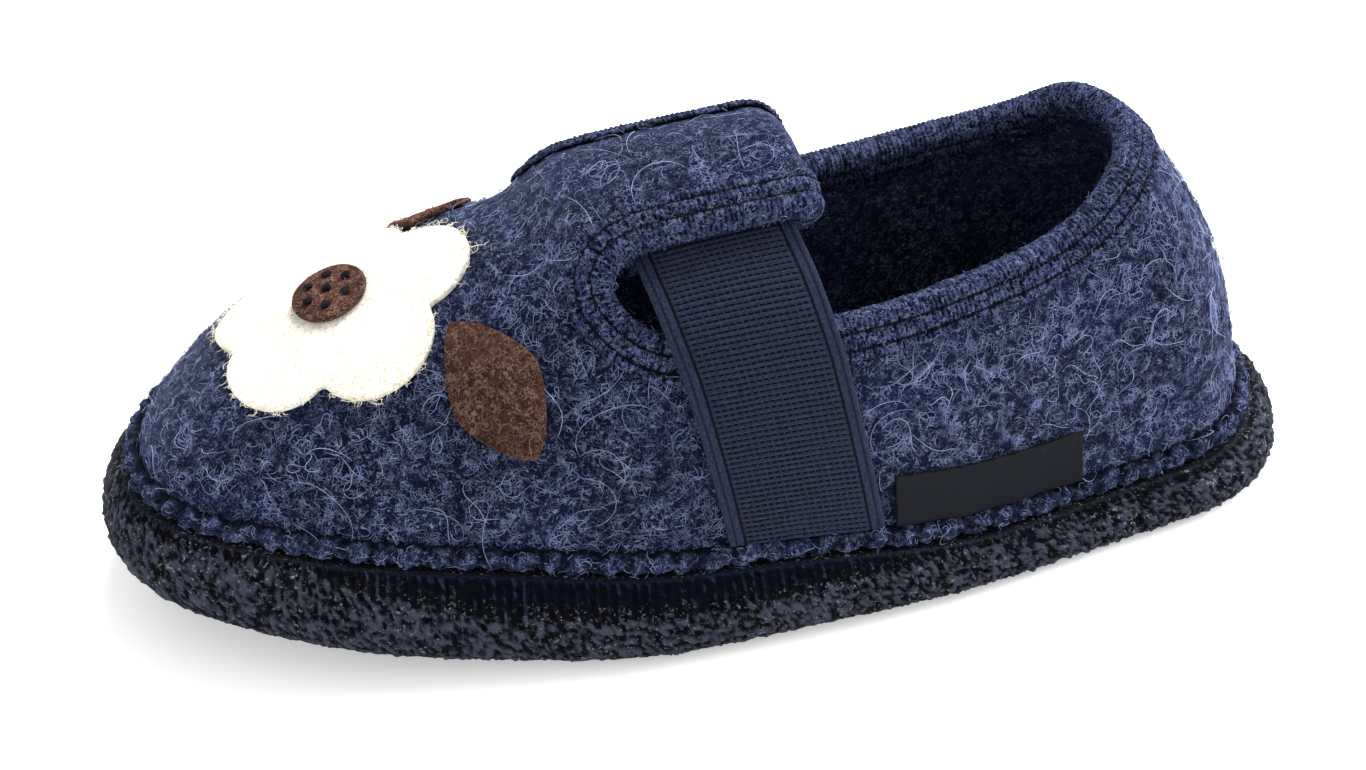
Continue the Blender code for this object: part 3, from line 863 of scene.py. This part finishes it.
def yarn_look():
    look = Look("seam_yarn", 0.9, sheen=0.25, sheen_tint=TAPE_LIGHT)
    along, across, crest = look.cloth()
    sway = look.times(look.noise(300), 0.004)
    slant = look.plus(look.plus(along, look.times(across, 0.7)), sway)
    twist = look.times(look.wave(slant, YARN_PITCH), 0.08)
    rib = look.plus(twist, look.noise(1700, detail=3, rough=0.75))
    # Painted shade and highlight: the yarn darker between the puckers and lighter on their crests, on top of
    # its twist and random noise
    rib = look.plus(rib, look.times(crest, 0.45))
    colour = look.mix(look.band(rib, 0.45, 1.15), TAPE_DARK, YARN_LIGHT)
    lines = look.hairs(1000, 0.035, (0.5, 1.2, 1.9))
    # Pale hairs show strongly on the crests and faintly in the hollows: painted shade between the puckers
    shown = look.band(crest, 0.25, 0.9, 0.02, 0.6)
    colour = look.mix(look.times(lines, shown), colour, HAIR_BLUE)
    # Painted shade: dark bands along the bead's top and bottom, where it meets the felt and the sole
    shade_at_joins = look.band(look.math("ABSOLUTE", across), 0.0013, 0.0025, 0.0, 0.85)
    return look.finish(look.mix(shade_at_joins, colour, YARN_SHADE), rib, 0.0004)


def label_look():
    look = Look("label_weave", 0.7)
    settings = {"wave_type": "BANDS", "bands_direction": "Z"}
    fine = look.node("TexWave", settings, Scale=900.0, Vector=look.place()).outputs["Fac"]
    return look.finish(look.mix(fine, LABEL_BLACK, LABEL_LIGHT), fine, 0.00006)


def fibre_look(name, first, second):
    look = Look(name, 0.75, sheen=0.2, sheen_tint=first)
    return look.finish(look.mix(look.band(look.noise(350, detail=1), 0.35, 0.65), first, second))


def vamp_grid(ribs, side, times):
    """The outer face from the tab's and notch's edge up to the ridge, on one side."""
    over = ribs[ribs >= angle_at(TAB_END) - MERGE]
    edge = tab_edge(over)[:, None]
    return body(side * over[:, None], edge + (1 - edge) * closer(TAB_ROWS, times))


def upper(look):
    """The felt wall: quarters, vamp and folded tab, with a lumpy face."""
    made = Piece()
    ribs = closer(RIBS, FINE)
    around = np.concatenate([-ribs[::-1], ribs[1:]])[:, None]
    made.add(rough_felt(body(around, quarter_edge(around) * closer(WALL_ROWS, FINE))), flip=True)
    columns = TAB_SHARE + (1 - TAB_SHARE) * closer(TAB_ROWS, FINE)
    arc = TURN * FOLD_RADIUS
    flap = arc + np.linspace(0, (FLAP_END - TAB_END) * LENGTH, 24)
    reach = -np.concatenate([np.linspace(0, arc, 30), flap[1:]])[:, None]
    for side in (1, -1):
        made.add(rough_felt(vamp_grid(ribs, side, FINE)[::-1]), flip=side < 0)
        made.add(rough_felt(tab(reach, columns, side)), flip=side < 0)
    thicken(made.build("felt_upper", look, ["upper"], merge=0.00006), FELT, -1)


def rough_felt(grid):
    """Small lumps in the felt's face, worked out from where its points are."""
    out = LUMP * (lumps(grid, LUMP_WIDE) * 0.8 + lumps(grid, LUMP_SMALL, seed=3.0) * 0.5)
    return grid + unit(grid - MIDDLE) * out[..., None]


def tape_section():
    """The tape's section, as distances into the felt and heights over its face, skin first."""
    far = TAPE_GAP + TAPE
    half = FELT / 2 + far
    round_out = 0.0004
    corner = [(TAPE_WIDTH, TAPE_GAP), (TAPE_WIDTH - 0.0001, far - 0.0003), (TAPE_WIDTH - TAPE_ROUND, far)]
    outer = [(x, far) for x in np.linspace(TAPE_WIDTH - 0.0011, TAPE_ROUND, 13)]
    turns = np.linspace(TURN / 2, -TURN / 2, 9)[1:-1]
    rim = [(round_out - (far + round_out) * np.cos(turn), -FELT / 2 + half * np.sin(turn)) for turn in turns]
    inner = [(x, -FELT - far) for x in np.linspace(TAPE_ROUND, TAPE_WIDTH - TAPE_ROUND, 8)]
    under = -FELT - TAPE_GAP
    back = [(TAPE_WIDTH, under), (TAPE_WIDTH / 2, under), (-TAPE_GAP, under), (-TAPE_GAP, TAPE_GAP),
            (TAPE_WIDTH / 2, TAPE_GAP)]
    skin = corner + outer + rim + inner
    return np.array(skin + back).T, len(skin)


def wander(run, size, seed=0.0):
    """Smooth noise along a run."""
    return lumps(np.stack([run, run * 0, run * 0], -1), size, seed)


def along_run(run, values, fine):
    """Values given at stations along a run, on a smooth curve at finer stations."""
    flat = values.reshape(len(run), -1)
    columns = [spline(run, flat[:, i], fine) for i in range(flat.shape[1])]
    return np.stack(columns, -1).reshape(len(fine), *values.shape[1:])


def binding(look):
    """Knit tape round the felt's edge, with its ribs and two sunk lines of stitches."""
    depths = np.linspace(0, TAPE_WIDTH, 5)
    levels = [], []
    for kind, side, first, v, inward in edge_stations():
        for level, out in zip(levels, (0.0, STEP)):
            level.append([felt_face(kind, side, first + d * inward[0], v + d * inward[1], out)
                          for d in depths])
    flat, high = np.array(levels)
    run = run_along(flat[:, 0])
    fine = np.linspace(0, run[-1], int(run[-1] / (RIB_PITCH / PER_PITCH)) + 1)
    faces, outs = along_run(run, flat, fine), along_run(run, (high - flat) / STEP, fine)

    (into, out), skin = tape_section()
    place = np.clip(into, 0, TAPE_WIDTH) / TAPE_WIDTH * (len(depths) - 1)
    low = np.minimum(place.astype(int), len(depths) - 2)
    share = (place - low)[:, None]
    base = faces[:, low] * (1 - share) + faces[:, low + 1] * share
    normal = outs[:, low] * (1 - share) + outs[:, low + 1] * share
    edge = (faces[:, 1] - faces[:, 0]) / depths[1]
    base = base + edge[:, None] * np.minimum(into, 0)[:, None]
    grid = base + normal * out[:, None]

    wobble = wander(fine * 0.3, 0.004)
    rib = np.sin(2 * TURN * fine / RIB_PITCH + 2.2 * wobble)[:, None] * RIB_DEPTH
    rough = lumps(grid, TAPE_FLUFF_SIZE, octaves=2) * TAPE_FLUFF
    sunk = sum(np.exp(-((into - line) / STITCH_HALF) ** 2) for line in STITCH_LINES) * STITCH_DEPTH
    swell = TAPE_SWELL * np.abs(np.sin(TURN * np.clip(into, 0, TAPE_WIDTH) / (TAPE_WIDTH / 2.4)))
    relief = rib + rough + (swell - sunk)
    relief[:, skin:] = 0
    grid = grid + outward(grid, skin // 4) * relief[..., None]
    # Relief for the look, which paints shade where it is low, in the dips and stitch lines, and highlight on
    # the rib crests
    crest = np.clip(0.55 + (rib + rough) / (2.4 * RIB_DEPTH) - sunk / STITCH_DEPTH, 0, 1)
    start, end = (np.broadcast_to(row.mean(0), (1, *row.shape)) for row in (grid[0], grid[-1]))
    made = Piece()
    made.add(closed(np.concatenate([start, grid, end])), across=np.append(into, into[0]),
             along=np.concatenate([fine[:1], fine, fine[-1:]])[:, None],
             crest=closed(np.concatenate([crest[:1], crest, crest[-1:]])))
    return made.build("binding_tape", look, ["collar_binding"]), grid[:, :skin]


def elastic(look):
    """Woven band with raised weft rows, and smooth selvedges set off by a sunk line."""
    start = share_above_seam(angle_at(STRAP["middle"][0]), BEAD_HEIGHT / 2 + GAP)
    v = np.linspace(start, 1, 50)[:, None]
    middle, over_tape, in_fold = (np.interp(v, STRAP["v"], STRAP[name])
                                  for name in ("middle", "over_tape", "in_fold"))
    height = GAP * (1 - in_fold) + (TAPE_GAP + TAPE) * over_tape
    height = height + (TAB_RAISE - FOLD_RADIUS - ELASTIC / 2) * in_fold
    width = np.linspace(-0.5, 0.5, 41) * ELASTIC_WIDTH
    centre = len(width) // 2
    from_edge = ELASTIC_WIDTH / 2 - np.abs(width)
    inside = smooth((from_edge - SELVEDGE) / SELVEDGE_EASE)
    sunk = np.exp(-((from_edge - SELVEDGE) / GROOVE_HALF) ** 2)
    sunk = sunk + RIM_SHARE * np.exp(-((from_edge - RIM_GROOVE) / GROOVE_HALF) ** 2)
    across = width + ELASTIC_WIDTH / 2
    made = Piece()
    for side in (1, -1):
        coarse = off_last(side * angle_at(middle + width / LENGTH), v, height)
        run = run_along(coarse[:, centre])
        fine = np.linspace(0, run[-1], int(run[-1] / (WEFT_PITCH / PER_PITCH)))
        grid = along_run(run, coarse, fine)
        rows = np.sin(2 * TURN * fine / WEFT_PITCH)[:, None]
        out = ELASTIC + WEAVE_DEPTH * rows * inside - GROOVE_DEPTH * sunk
        face = grid + outward(grid, centre) * out[..., None]
        made.add(closed(np.concatenate([face, grid[:, ::-1]], 1)), flip=side < 0, along=fine[:, None],
                 across=np.concatenate([across, across[::-1], across[:1]]))
    return made.build("elastic_strap", look, ["elastic_band"])


def fine_round(pitch):
    """u and run of stations a pitch apart right round the foot."""
    u = np.linspace(-TURN, TURN, 4001)
    run = run_along(outline(u))
    fine = np.linspace(0, run[-1], int(run[-1] / pitch) + 1)
    return np.interp(fine, run, u), fine


def ring_at(u, profile):
    """Grid right round the foot from a profile of (out, height) arrays."""
    return np.stack([np.column_stack([outline(u, out), np.broadcast_to(height, u.shape)])
                     for out, height in profile], 1)


def deck_at(u, out, height):
    """Level strip across the foot that closes a ring; u are the ring's own stations."""
    half = np.linspace(0, TURN, len(u) // 2 + 1)
    outer, inner = (np.column_stack([outline(side * half, out), lift(along_at(half)) + height])[:, None]
                    for side in (1, -1))
    shares = np.linspace(0, 1, 9)[:, None]
    return outer * (1 - shares) + inner * shares


def seam(look):
    """Overedge seam, drawn in by its stitches into puckers; gives back its shown face."""
    u, run = fine_round(SEAM_STEP)
    turns = np.linspace(-TURN / 2, TURN / 2, 13)
    wobble = wander(run, 0.013, 5.0)
    phase = (2 * TURN * run / PUCKER_PITCH + 2.5 * wobble)[:, None]
    pucker = PUCKER_DEPTH * np.sin(phase + 0.9 * turns) + PUCKER_RIPPLE * np.sin(3.7 * phase - 1.4 * turns)
    out = GAP - SEAM_INSET + BEAD_DEPTH * (0.98 + pucker) * np.cos(turns)
    middle = seam_height(u) + 0.0004 * wobble
    height = middle[:, None] + BEAD_HEIGHT / 2 * (1.08 + pucker) * np.sin(turns)
    grid = ring_at(u, zip(out.T, height.T))
    fluff = lumps(grid, SEAM_FLUFF_SIZE)
    relief = SEAM_FLUFF * fluff + SEAM_WAVE * lumps(grid, SEAM_WAVE_SIZE, seed=2.0)
    grid = closed(grid + outward(grid, len(turns) // 2) * relief[..., None])
    grid[-1] = grid[0]
    made = Piece()
    # Relief for the look, which paints shade between the puckers and highlight on their crests
    made.add(grid, along=run[:, None], across=np.append(turns, turns[0]) * BEAD_HEIGHT / 2,
             crest=closed(np.clip(0.5 + 0.6 * fluff + 1.6 * pucker, 0, 1)))
    made.build("overedge_seam", look, ["seam_bead"])
    return grid[:, 4:11]


def sole(look):
    """Dipped knit sole: gritty side, knit band under the seam, rim that the felt stands on."""
    u, run = fine_round(SOLE_STEP)
    along = along_at(u)
    rise, level, wide = lift(along), seam_height(u), flare(u)
    ledge = level - BEAD_HEIGHT / 2 - GAP
    inside = -SEAM_INSET - FELT
    widest = rise + (ledge - rise) * WIDEST_SHARE
    edge = [(wide - SOLE_EDGE * (1 - np.sin(turn)), rise + (widest - rise) * (1 - np.cos(turn)))
            for turn in np.linspace(0, TURN / 2, 12)]
    side = [(BEAD_DEPTH + (wide - BEAD_DEPTH) * (1 - up ** 2), widest + (ledge - widest) * up)
            for up in np.linspace(0, 1, 16)[1:]]
    rim = [(-SEAM_INSET, ledge), (-SEAM_INSET, level - GAP), (inside, level - GAP),
           (inside, rise + SOLE_PAD)]
    grid = ring_at(u, edge + side + rim)
    shown = len(edge + side)
    up = (grid[:, :shown, 2] - rise[:, None]) / (ledge - rise)[:, None]
    band = KNIT_BAND * smooth((along - KNIT_FROM) / KNIT_EASE) * smooth((KNIT_TO - along) / KNIT_EASE)
    band = (band * (0.55 + 0.45 * np.sign(u)))[:, None]
    knit = smooth((up + band - KNIT_START) / (1 - KNIT_START))
    grit = lumps(grid[:, :shown], GRIT_SIZE, octaves=2) + 0.25 * lumps(grid[:, :shown], 0.004, seed=9.0)
    grit = GRIT * grit
    wales = WALE_DEPTH * np.sin(2 * TURN * run / WALE_PITCH)[:, None] + 0.3 * grit - WALE_SUNK
    relief = (grit * (1 - 0.6 * knit) + wales * knit) * smooth(up / 0.12) * smooth((1 - up) / 0.05)
    grid[:, :shown] += outward(grid, shown // 2)[:, :shown] * relief[..., None]
    cloth, crest = np.zeros((2, *grid.shape[:2]))
    cloth[:, :shown] = up + band
    # Relief for the look, which paints shade in the hollows of the grit and wales and highlight on their
    # tops
    crest[:, :shown] = np.clip(0.5 + relief / GRIT, 0, 1)
    made = Piece()
    made.add(grid, along=run[:, None], across=cloth, crest=crest)
    made.add(deck_at(u, flare(np.linspace(0, TURN, len(u) // 2 + 1)) - SOLE_EDGE, 0))
    made.add(deck_at(u, inside, SOLE_PAD))
    made.build("dipped_sole", look, ["outsole"], merge=0.00001)


def sock(look):
    """Felt insole."""
    u, run = fine_round(SOCK_STEP)
    out = -SEAM_INSET - FELT - GAP
    low, high = SOLE_PAD + GAP, SOLE_PAD + GAP + INSOLE
    rise = lift(along_at(u))
    rounds = [(out - INSOLE_ROUND * (1 - np.cos(turn)), rise + high - INSOLE_ROUND * (1 - np.sin(turn)))
              for turn in np.linspace(0, TURN / 2, 5)]
    made = Piece()
    made.add(ring_at(u, [(out, rise + low)] + rounds), along=run[:, None])
    made.add(deck_at(u, out, low))
    made.add(deck_at(u, out - INSOLE_ROUND, high))
    made.build("insole_felt", look, ["insole"])


def tag(look):
    """Bare woven label, slightly drawn in along the seam."""
    front = STRAP["middle"][0] - (ELASTIC_WIDTH / 2 + LABEL_GAP) / LENGTH
    u = angle_at(np.linspace(front, front - LABEL_LENGTH / LENGTH, LABEL_STATIONS))[:, None]
    share = np.linspace(0, 1, 20)
    v = share_above_seam(u, BEAD_HEIGHT / 2 + GAP + LABEL_HEIGHT * share)
    ripple = np.sin(np.linspace(0, 7 * TURN, LABEL_STATIONS))[:, None] * (1 - share) ** 2
    station = np.arange(LABEL_STATIONS)
    ends = np.exp(-np.minimum(station, station[::-1]) / 2.5)[:, None]
    out = GAP + LAID + LABEL_RIPPLE * ripple + LABEL_CURL * ends
    made = Piece()
    made.add(body(u, v, out), along=np.linspace(0, LABEL_LENGTH, LABEL_STATIONS)[:, None],
             across=share * LABEL_HEIGHT)
    piece = made.build("label_tape", look, ["label"])
    thicken(piece, LABEL, 1)
    return piece


def cutout(name, node, look, centre, radius, out, rings, spokes, start=0.0, evened=6):
    """Felt cut-out on the vamp with a rounded edge; also gives back the grid of its face."""
    grid = []
    for share in np.linspace(0, 1, rings) ** 0.8:
        row = []
        for turn in start + np.linspace(0, 2 * TURN, spokes + 1)[:-1]:
            reach = share * radius(turn)
            u, v = vamp_place(centre[0] + reach * np.cos(turn), centre[1] + reach * np.sin(turn))
            row.append(body(u, v, out))
        grid.append(row + row[:1])
    grid = np.array(grid)
    made = Piece()
    made.add(grid)
    piece = made.build(name, look, [node])
    even = piece.modifiers.new("even", "SMOOTH")
    even.iterations = evened
    thicken(piece, PATCH, 1)
    rounding = piece.modifiers.new("rounding", "BEVEL")
    rounding.width = PATCH * 0.3
    rounding.segments = 2
    rounding.limit_method = "ANGLE"
    return piece, grid


def knots(look, centre):
    """Small black knots of yarn on the flower's centre, one in the middle and six round it."""
    turns = np.arange(6) * TURN / 3 + 0.3
    spots = [(0.0, 0.0)] + [(KNOT_RING * np.cos(turn), KNOT_RING * np.sin(turn)) for turn in turns]
    work = bmesh.new()
    for ahead, across in spots:
        u, v = vamp_place(centre[0] + ahead, centre[1] + across)
        normal = normal_at(u, v)
        side = unit(np.cross(normal, [0, 1, 0]))
        axes = side * KNOT_WIDTH, np.cross(normal, side) * KNOT_WIDTH, normal * KNOT_HEIGHT
        place = placed(axes, body(u, v, 2 * GAP + 2 * PATCH + LAID))
        bmesh.ops.create_icosphere(work, subdivisions=3, radius=1.0, matrix=place)
    for vertex in work.verts:
        vertex.co += vertex.normal * KNOT_ROUGH * noise.noise(vertex.co * 2600)
    mesh = bpy.data.meshes.new("flower_knots")
    work.to_mesh(mesh)
    work.free()
    dressed("flower_knots", mesh, look)


def tree_of(pieces):
    """Search tree of the shown pieces' final meshes."""
    graph = bpy.context.evaluated_depsgraph_get()
    points, faces = [], []
    for piece in pieces:
        done = piece.evaluated_get(graph)
        mesh = done.to_mesh()
        first = len(points)
        points += [piece.matrix_world @ v.co for v in mesh.vertices]
        faces += [[first + i for i in p.vertices] for p in mesh.polygons]
        done.to_mesh_clear()
    return BVHTree.FromPolygons(points, faces)


def scatter(grids, count, covers=None):
    """Random roots on grids of points, with their normals, where nothing covers the felt."""
    roots, normals, weights = [], [], []
    for grid in grids:
        a, b, c = grid[:-1, :-1], grid[1:, :-1], grid[:-1, 1:]
        weights.append(np.linalg.norm(np.cross(b - a, c - a), axis=-1).ravel())
        share = RANDOM.random((2, *a.shape[:2], 1))
        roots.append((a + (b - a) * share[0] + (c - a) * share[1]).reshape(-1, 3))
        normals.append(outward(grid)[:-1, :-1].reshape(-1, 3))
    roots, normals, weights = np.concatenate(roots), np.concatenate(normals), np.concatenate(weights)
    chosen = RANDOM.choice(len(roots), count, p=weights / weights.sum())
    roots = roots[chosen] + RANDOM.normal(0, ROOT_SPREAD, (count, 3))
    normals = normals[chosen]
    if covers:
        free = [covers.ray_cast(root + normal * LAID, normal, COVER_REACH)[0] is None
                for root, normal in zip(roots, normals)]
        roots, normals = roots[free], normals[free]
    return roots, normals


def fibres(name, look, roots, normals, shape, points=6):
    """Loose curly fibres as fine three-sided tubes, lying on the surface or just off it."""
    length, height, curl = shape
    t, count = np.linspace(0, 1, points), len(roots)
    other = np.where(np.abs(normals[:, 2:]) < 0.9, [[0, 0, 1.0]], [[1.0, 0, 0]])
    first = unit(np.cross(normals, other))
    second = np.cross(normals, first)
    size = length * RANDOM.lognormal(0, 0.45, count)[:, None]
    heading = RANDOM.uniform(0, 2 * TURN, (count, 1))
    bend = np.clip(RANDOM.normal(0, 1, (count, 1)) * size / curl, -BEND_LIMIT, BEND_LIMIT)
    angle = heading + bend * t + 0.9 * RANDOM.normal(0, 1, (count, 1)) * np.sin(2 * TURN * t)
    step = size / (points - 1)
    x = np.cumsum(np.cos(angle) * step, 1)
    y = np.cumsum(np.sin(angle) * step, 1)
    rise = height * RANDOM.exponential(1, (count, 1))
    rise = rise * np.sin(TURN * t * RANDOM.uniform(0.6, 1.1, (count, 1)))
    path = roots[:, None] + first[:, None] * x[..., None] + second[:, None] * y[..., None]
    path = path + normals[:, None] * (rise + FIBRE_OFF)[..., None]
    path -= (path[:, points // 2] - roots)[:, None] * 0.5
    run = unit(np.gradient(path, axis=1))
    across = np.cross(run, normals[:, None])
    across /= np.maximum(np.linalg.norm(across, axis=-1, keepdims=True), 1e-9)
    upward = np.cross(across, run)
    taper = FIBRE_RADIUS * (1 - 0.55 * np.abs(2 * t - 1) ** 3)[:, None]
    turns = 2 * TURN * np.arange(3) / 3
    rings = np.stack([path + taper * (across * np.cos(a) + upward * np.sin(a)) for a in turns], 2)
    base = (np.arange(count)[:, None, None] * points + np.arange(points - 1)[:, None]) * 3
    corner, following = np.array([0, 1, 2]), np.array([1, 2, 0])
    faces = np.stack([base + corner, base + following, base + 3 + following, base + 3 + corner], -1)
    dressed(name, mesh_of(name, rings, faces), look)


def camera():
    """The photograph's camera, worked out from the shoe's outlines in its 1366 by 770 frame."""
    yaw, pitch, roll = 0.24483, 0.57771, -0.03852
    distance, focal, width, sensor = 0.66705, 3849.42, 1366, 36
    target = np.array([0, 0, 0.0276])
    ahead = np.array([-np.sin(yaw), -np.cos(yaw), 0])
    level = np.array([-np.cos(yaw), np.sin(yaw), 0])
    up = np.array([0, 0, 1.0])
    view = np.cos(pitch) * ahead - np.sin(pitch) * up
    tilted = np.sin(pitch) * ahead + np.cos(pitch) * up
    right = np.cos(roll) * level + np.sin(roll) * tilted
    top = -np.sin(roll) * level + np.cos(roll) * tilted
    data = bpy.data.cameras.new("camera")
    data.sensor_width = sensor
    data.lens = focal / width * sensor
    data.shift_x, data.shift_y = -14.876 / width, -23.624 / width
    data.clip_start = 0.01
    made = linked("camera", data)
    made.matrix_world = placed((right, top, -view), target - view * distance)
    bpy.context.scene.camera = made


def lamp(name, place, size, power):
    data = bpy.data.lights.new(name, "AREA")
    data.shape = "DISK"
    data.size = size
    data.energy = power
    made = linked(name, data)
    made.location = place
    made.rotation_euler = (Vector(LIT_POINT) - Vector(place)).to_track_quat("-Z", "Y").to_euler()


def studio():
    """Pale floor, bright even surroundings and three soft lights."""
    bpy.context.scene.view_settings.view_transform = "Standard"
    world = bpy.data.worlds.new("studio")
    world.use_nodes = True
    back = world.node_tree.nodes["Background"]
    back.inputs["Color"].default_value = (1, 1, 1, 1)
    back.inputs["Strength"].default_value = WORLD_LIGHT
    bpy.context.scene.world = world
    corners = np.array([(-1, -1, 0), (1, -1, 0), (1, 1, 0), (-1, 1, 0)]) * FLOOR_HALF
    mesh = mesh_of("floor", corners, np.arange(4))
    look = Look("floor_paint", 0.6)
    look.feed(look.shader["Emission Color"], (1, 1, 1))
    look.feed(look.shader["Emission Strength"], FLOOR_GLOW)
    mesh.materials.append(look.finish(FLOOR_PALE))
    floor = linked("floor", mesh)
    for name, place, size, power in LAMPS:
        lamp(name, place, size, power)


camera()
studio()

upper(felt_look("boiled_wool", NAVY, DENIM, HAIR_BLUE))
tape, tape_grid = binding(tape_look())
strap = elastic(elastic_look())
bead_grid = seam(yarn_look())
sole(sole_look())
sock(felt_look("sock_felt", SOCK_DARK, SOCK_LIGHT, SOCK_HAIR))
badge = tag(label_look())

# Cut-outs on the vamp
middle = (FLOWER_AHEAD, FLOWER_ACROSS)
cream = felt_look("cream_felt", CREAM_SHADE, CREAM, CREAM_HAIR, contrast=0.05, hairy=0.5)
brown = felt_look("brown_felt", BROWN, BROWN_MID, BROWN_LIGHT, hair_scale=800, hair_width=0.04)
petals, petal_grid = cutout("petal_felt", "flower_petals", cream, middle, petal_edge,
                            GAP, 16, 150)
brown_grids = [cutout("centre_felt", "flower_centre", brown, middle,
                      lambda turn: FLOWER_CENTRE, 2 * GAP + PATCH, 8, 60)[1]]
covers = [tape, strap, badge, petals]
reach = FLOWER_RADIUS + LEAF_GAP + leaf_edge(LEAF_HEADING)(LEAF_BEARING)
for name, side in (("leaf_outer", 1), ("leaf_inner", -1)):
    ahead, across = reach * np.cos(LEAF_BEARING), side * reach * np.sin(LEAF_BEARING)
    place = (FLOWER_AHEAD + ahead, FLOWER_ACROSS + across)
    leaf, grid = cutout(name + "_felt", name, brown, place, leaf_edge(side * LEAF_HEADING),
                        GAP, 10, 90, start=side * LEAF_HEADING, evened=0)
    covers.append(leaf)
    brown_grids.append(grid)
knots(fibre_look("black_yarn", KNOT_BLACK, KNOT_LIGHT), middle)

# Fuzz on the tape, seam and cut-outs: name, look, slot, faces, count and height of the roots
felt_fibre = fibre_look("wool_fibre", HAIR_BLUE, DENIM)
pale_fibre = fibre_look("pale_fibre", HAIR_PALE, HAIR_BLUE)
cream_fibre = fibre_look("cream_fibre", CREAM, CREAM_TIP)
brown_fibre = fibre_look("brown_fibre", BROWN_LIGHT, BROWN_TIP)
tree = tree_of(covers)
for name, look, slot, grids, count, lift_off in (
        ("tape_fuzz", felt_fibre, "binding", [tape_grid], 1200, 0.0),
        ("seam_fuzz", felt_fibre, "seam_yarn", [bead_grid], 1300, 0.0),
        ("cream_fuzz", cream_fibre, "cream_felt", [petal_grid[-2:]], 420, PATCH),
        ("brown_fuzz", brown_fibre, "brown_felt", brown_grids, 480, PATCH)):
    roots, normals = scatter(grids, count)
    fibres(name, look, roots + normals * lift_off, normals, FUZZ)

# Loose wool on the felt, fewer on the inner side
ribs = closer(RIBS, FUZZ_FINE)
heel, front = (0, HEEL_FIBRES_END), (FRONT_FIBRES_START, TURN)
for name, side, (start, end) in (("heel_outer", 1, heel), ("front_outer", 1, front),
                                 ("heel_inner", -1, heel), ("front_inner", -1, front)):
    u = side * ribs[(ribs >= start) & (ribs <= end)][:, None]
    grids = [body(u, quarter_edge(u) * closer(WALL_ROWS, FUZZ_FINE))]
    if end == TURN:
        grids.append(vamp_grid(ribs, side, FUZZ_FINE))
    roots, normals = scatter(grids, OUTER_FIBRES if side > 0 else INNER_FIBRES, tree)
    fibres("fibres_" + name, felt_fibre, roots, normals, FIBRE)
    roots, normals = scatter(grids, LONG_FIBRES, tree)
    fibres("long_fibres_" + name, pale_fibre, roots, normals, LONG_FIBRE, points=12)
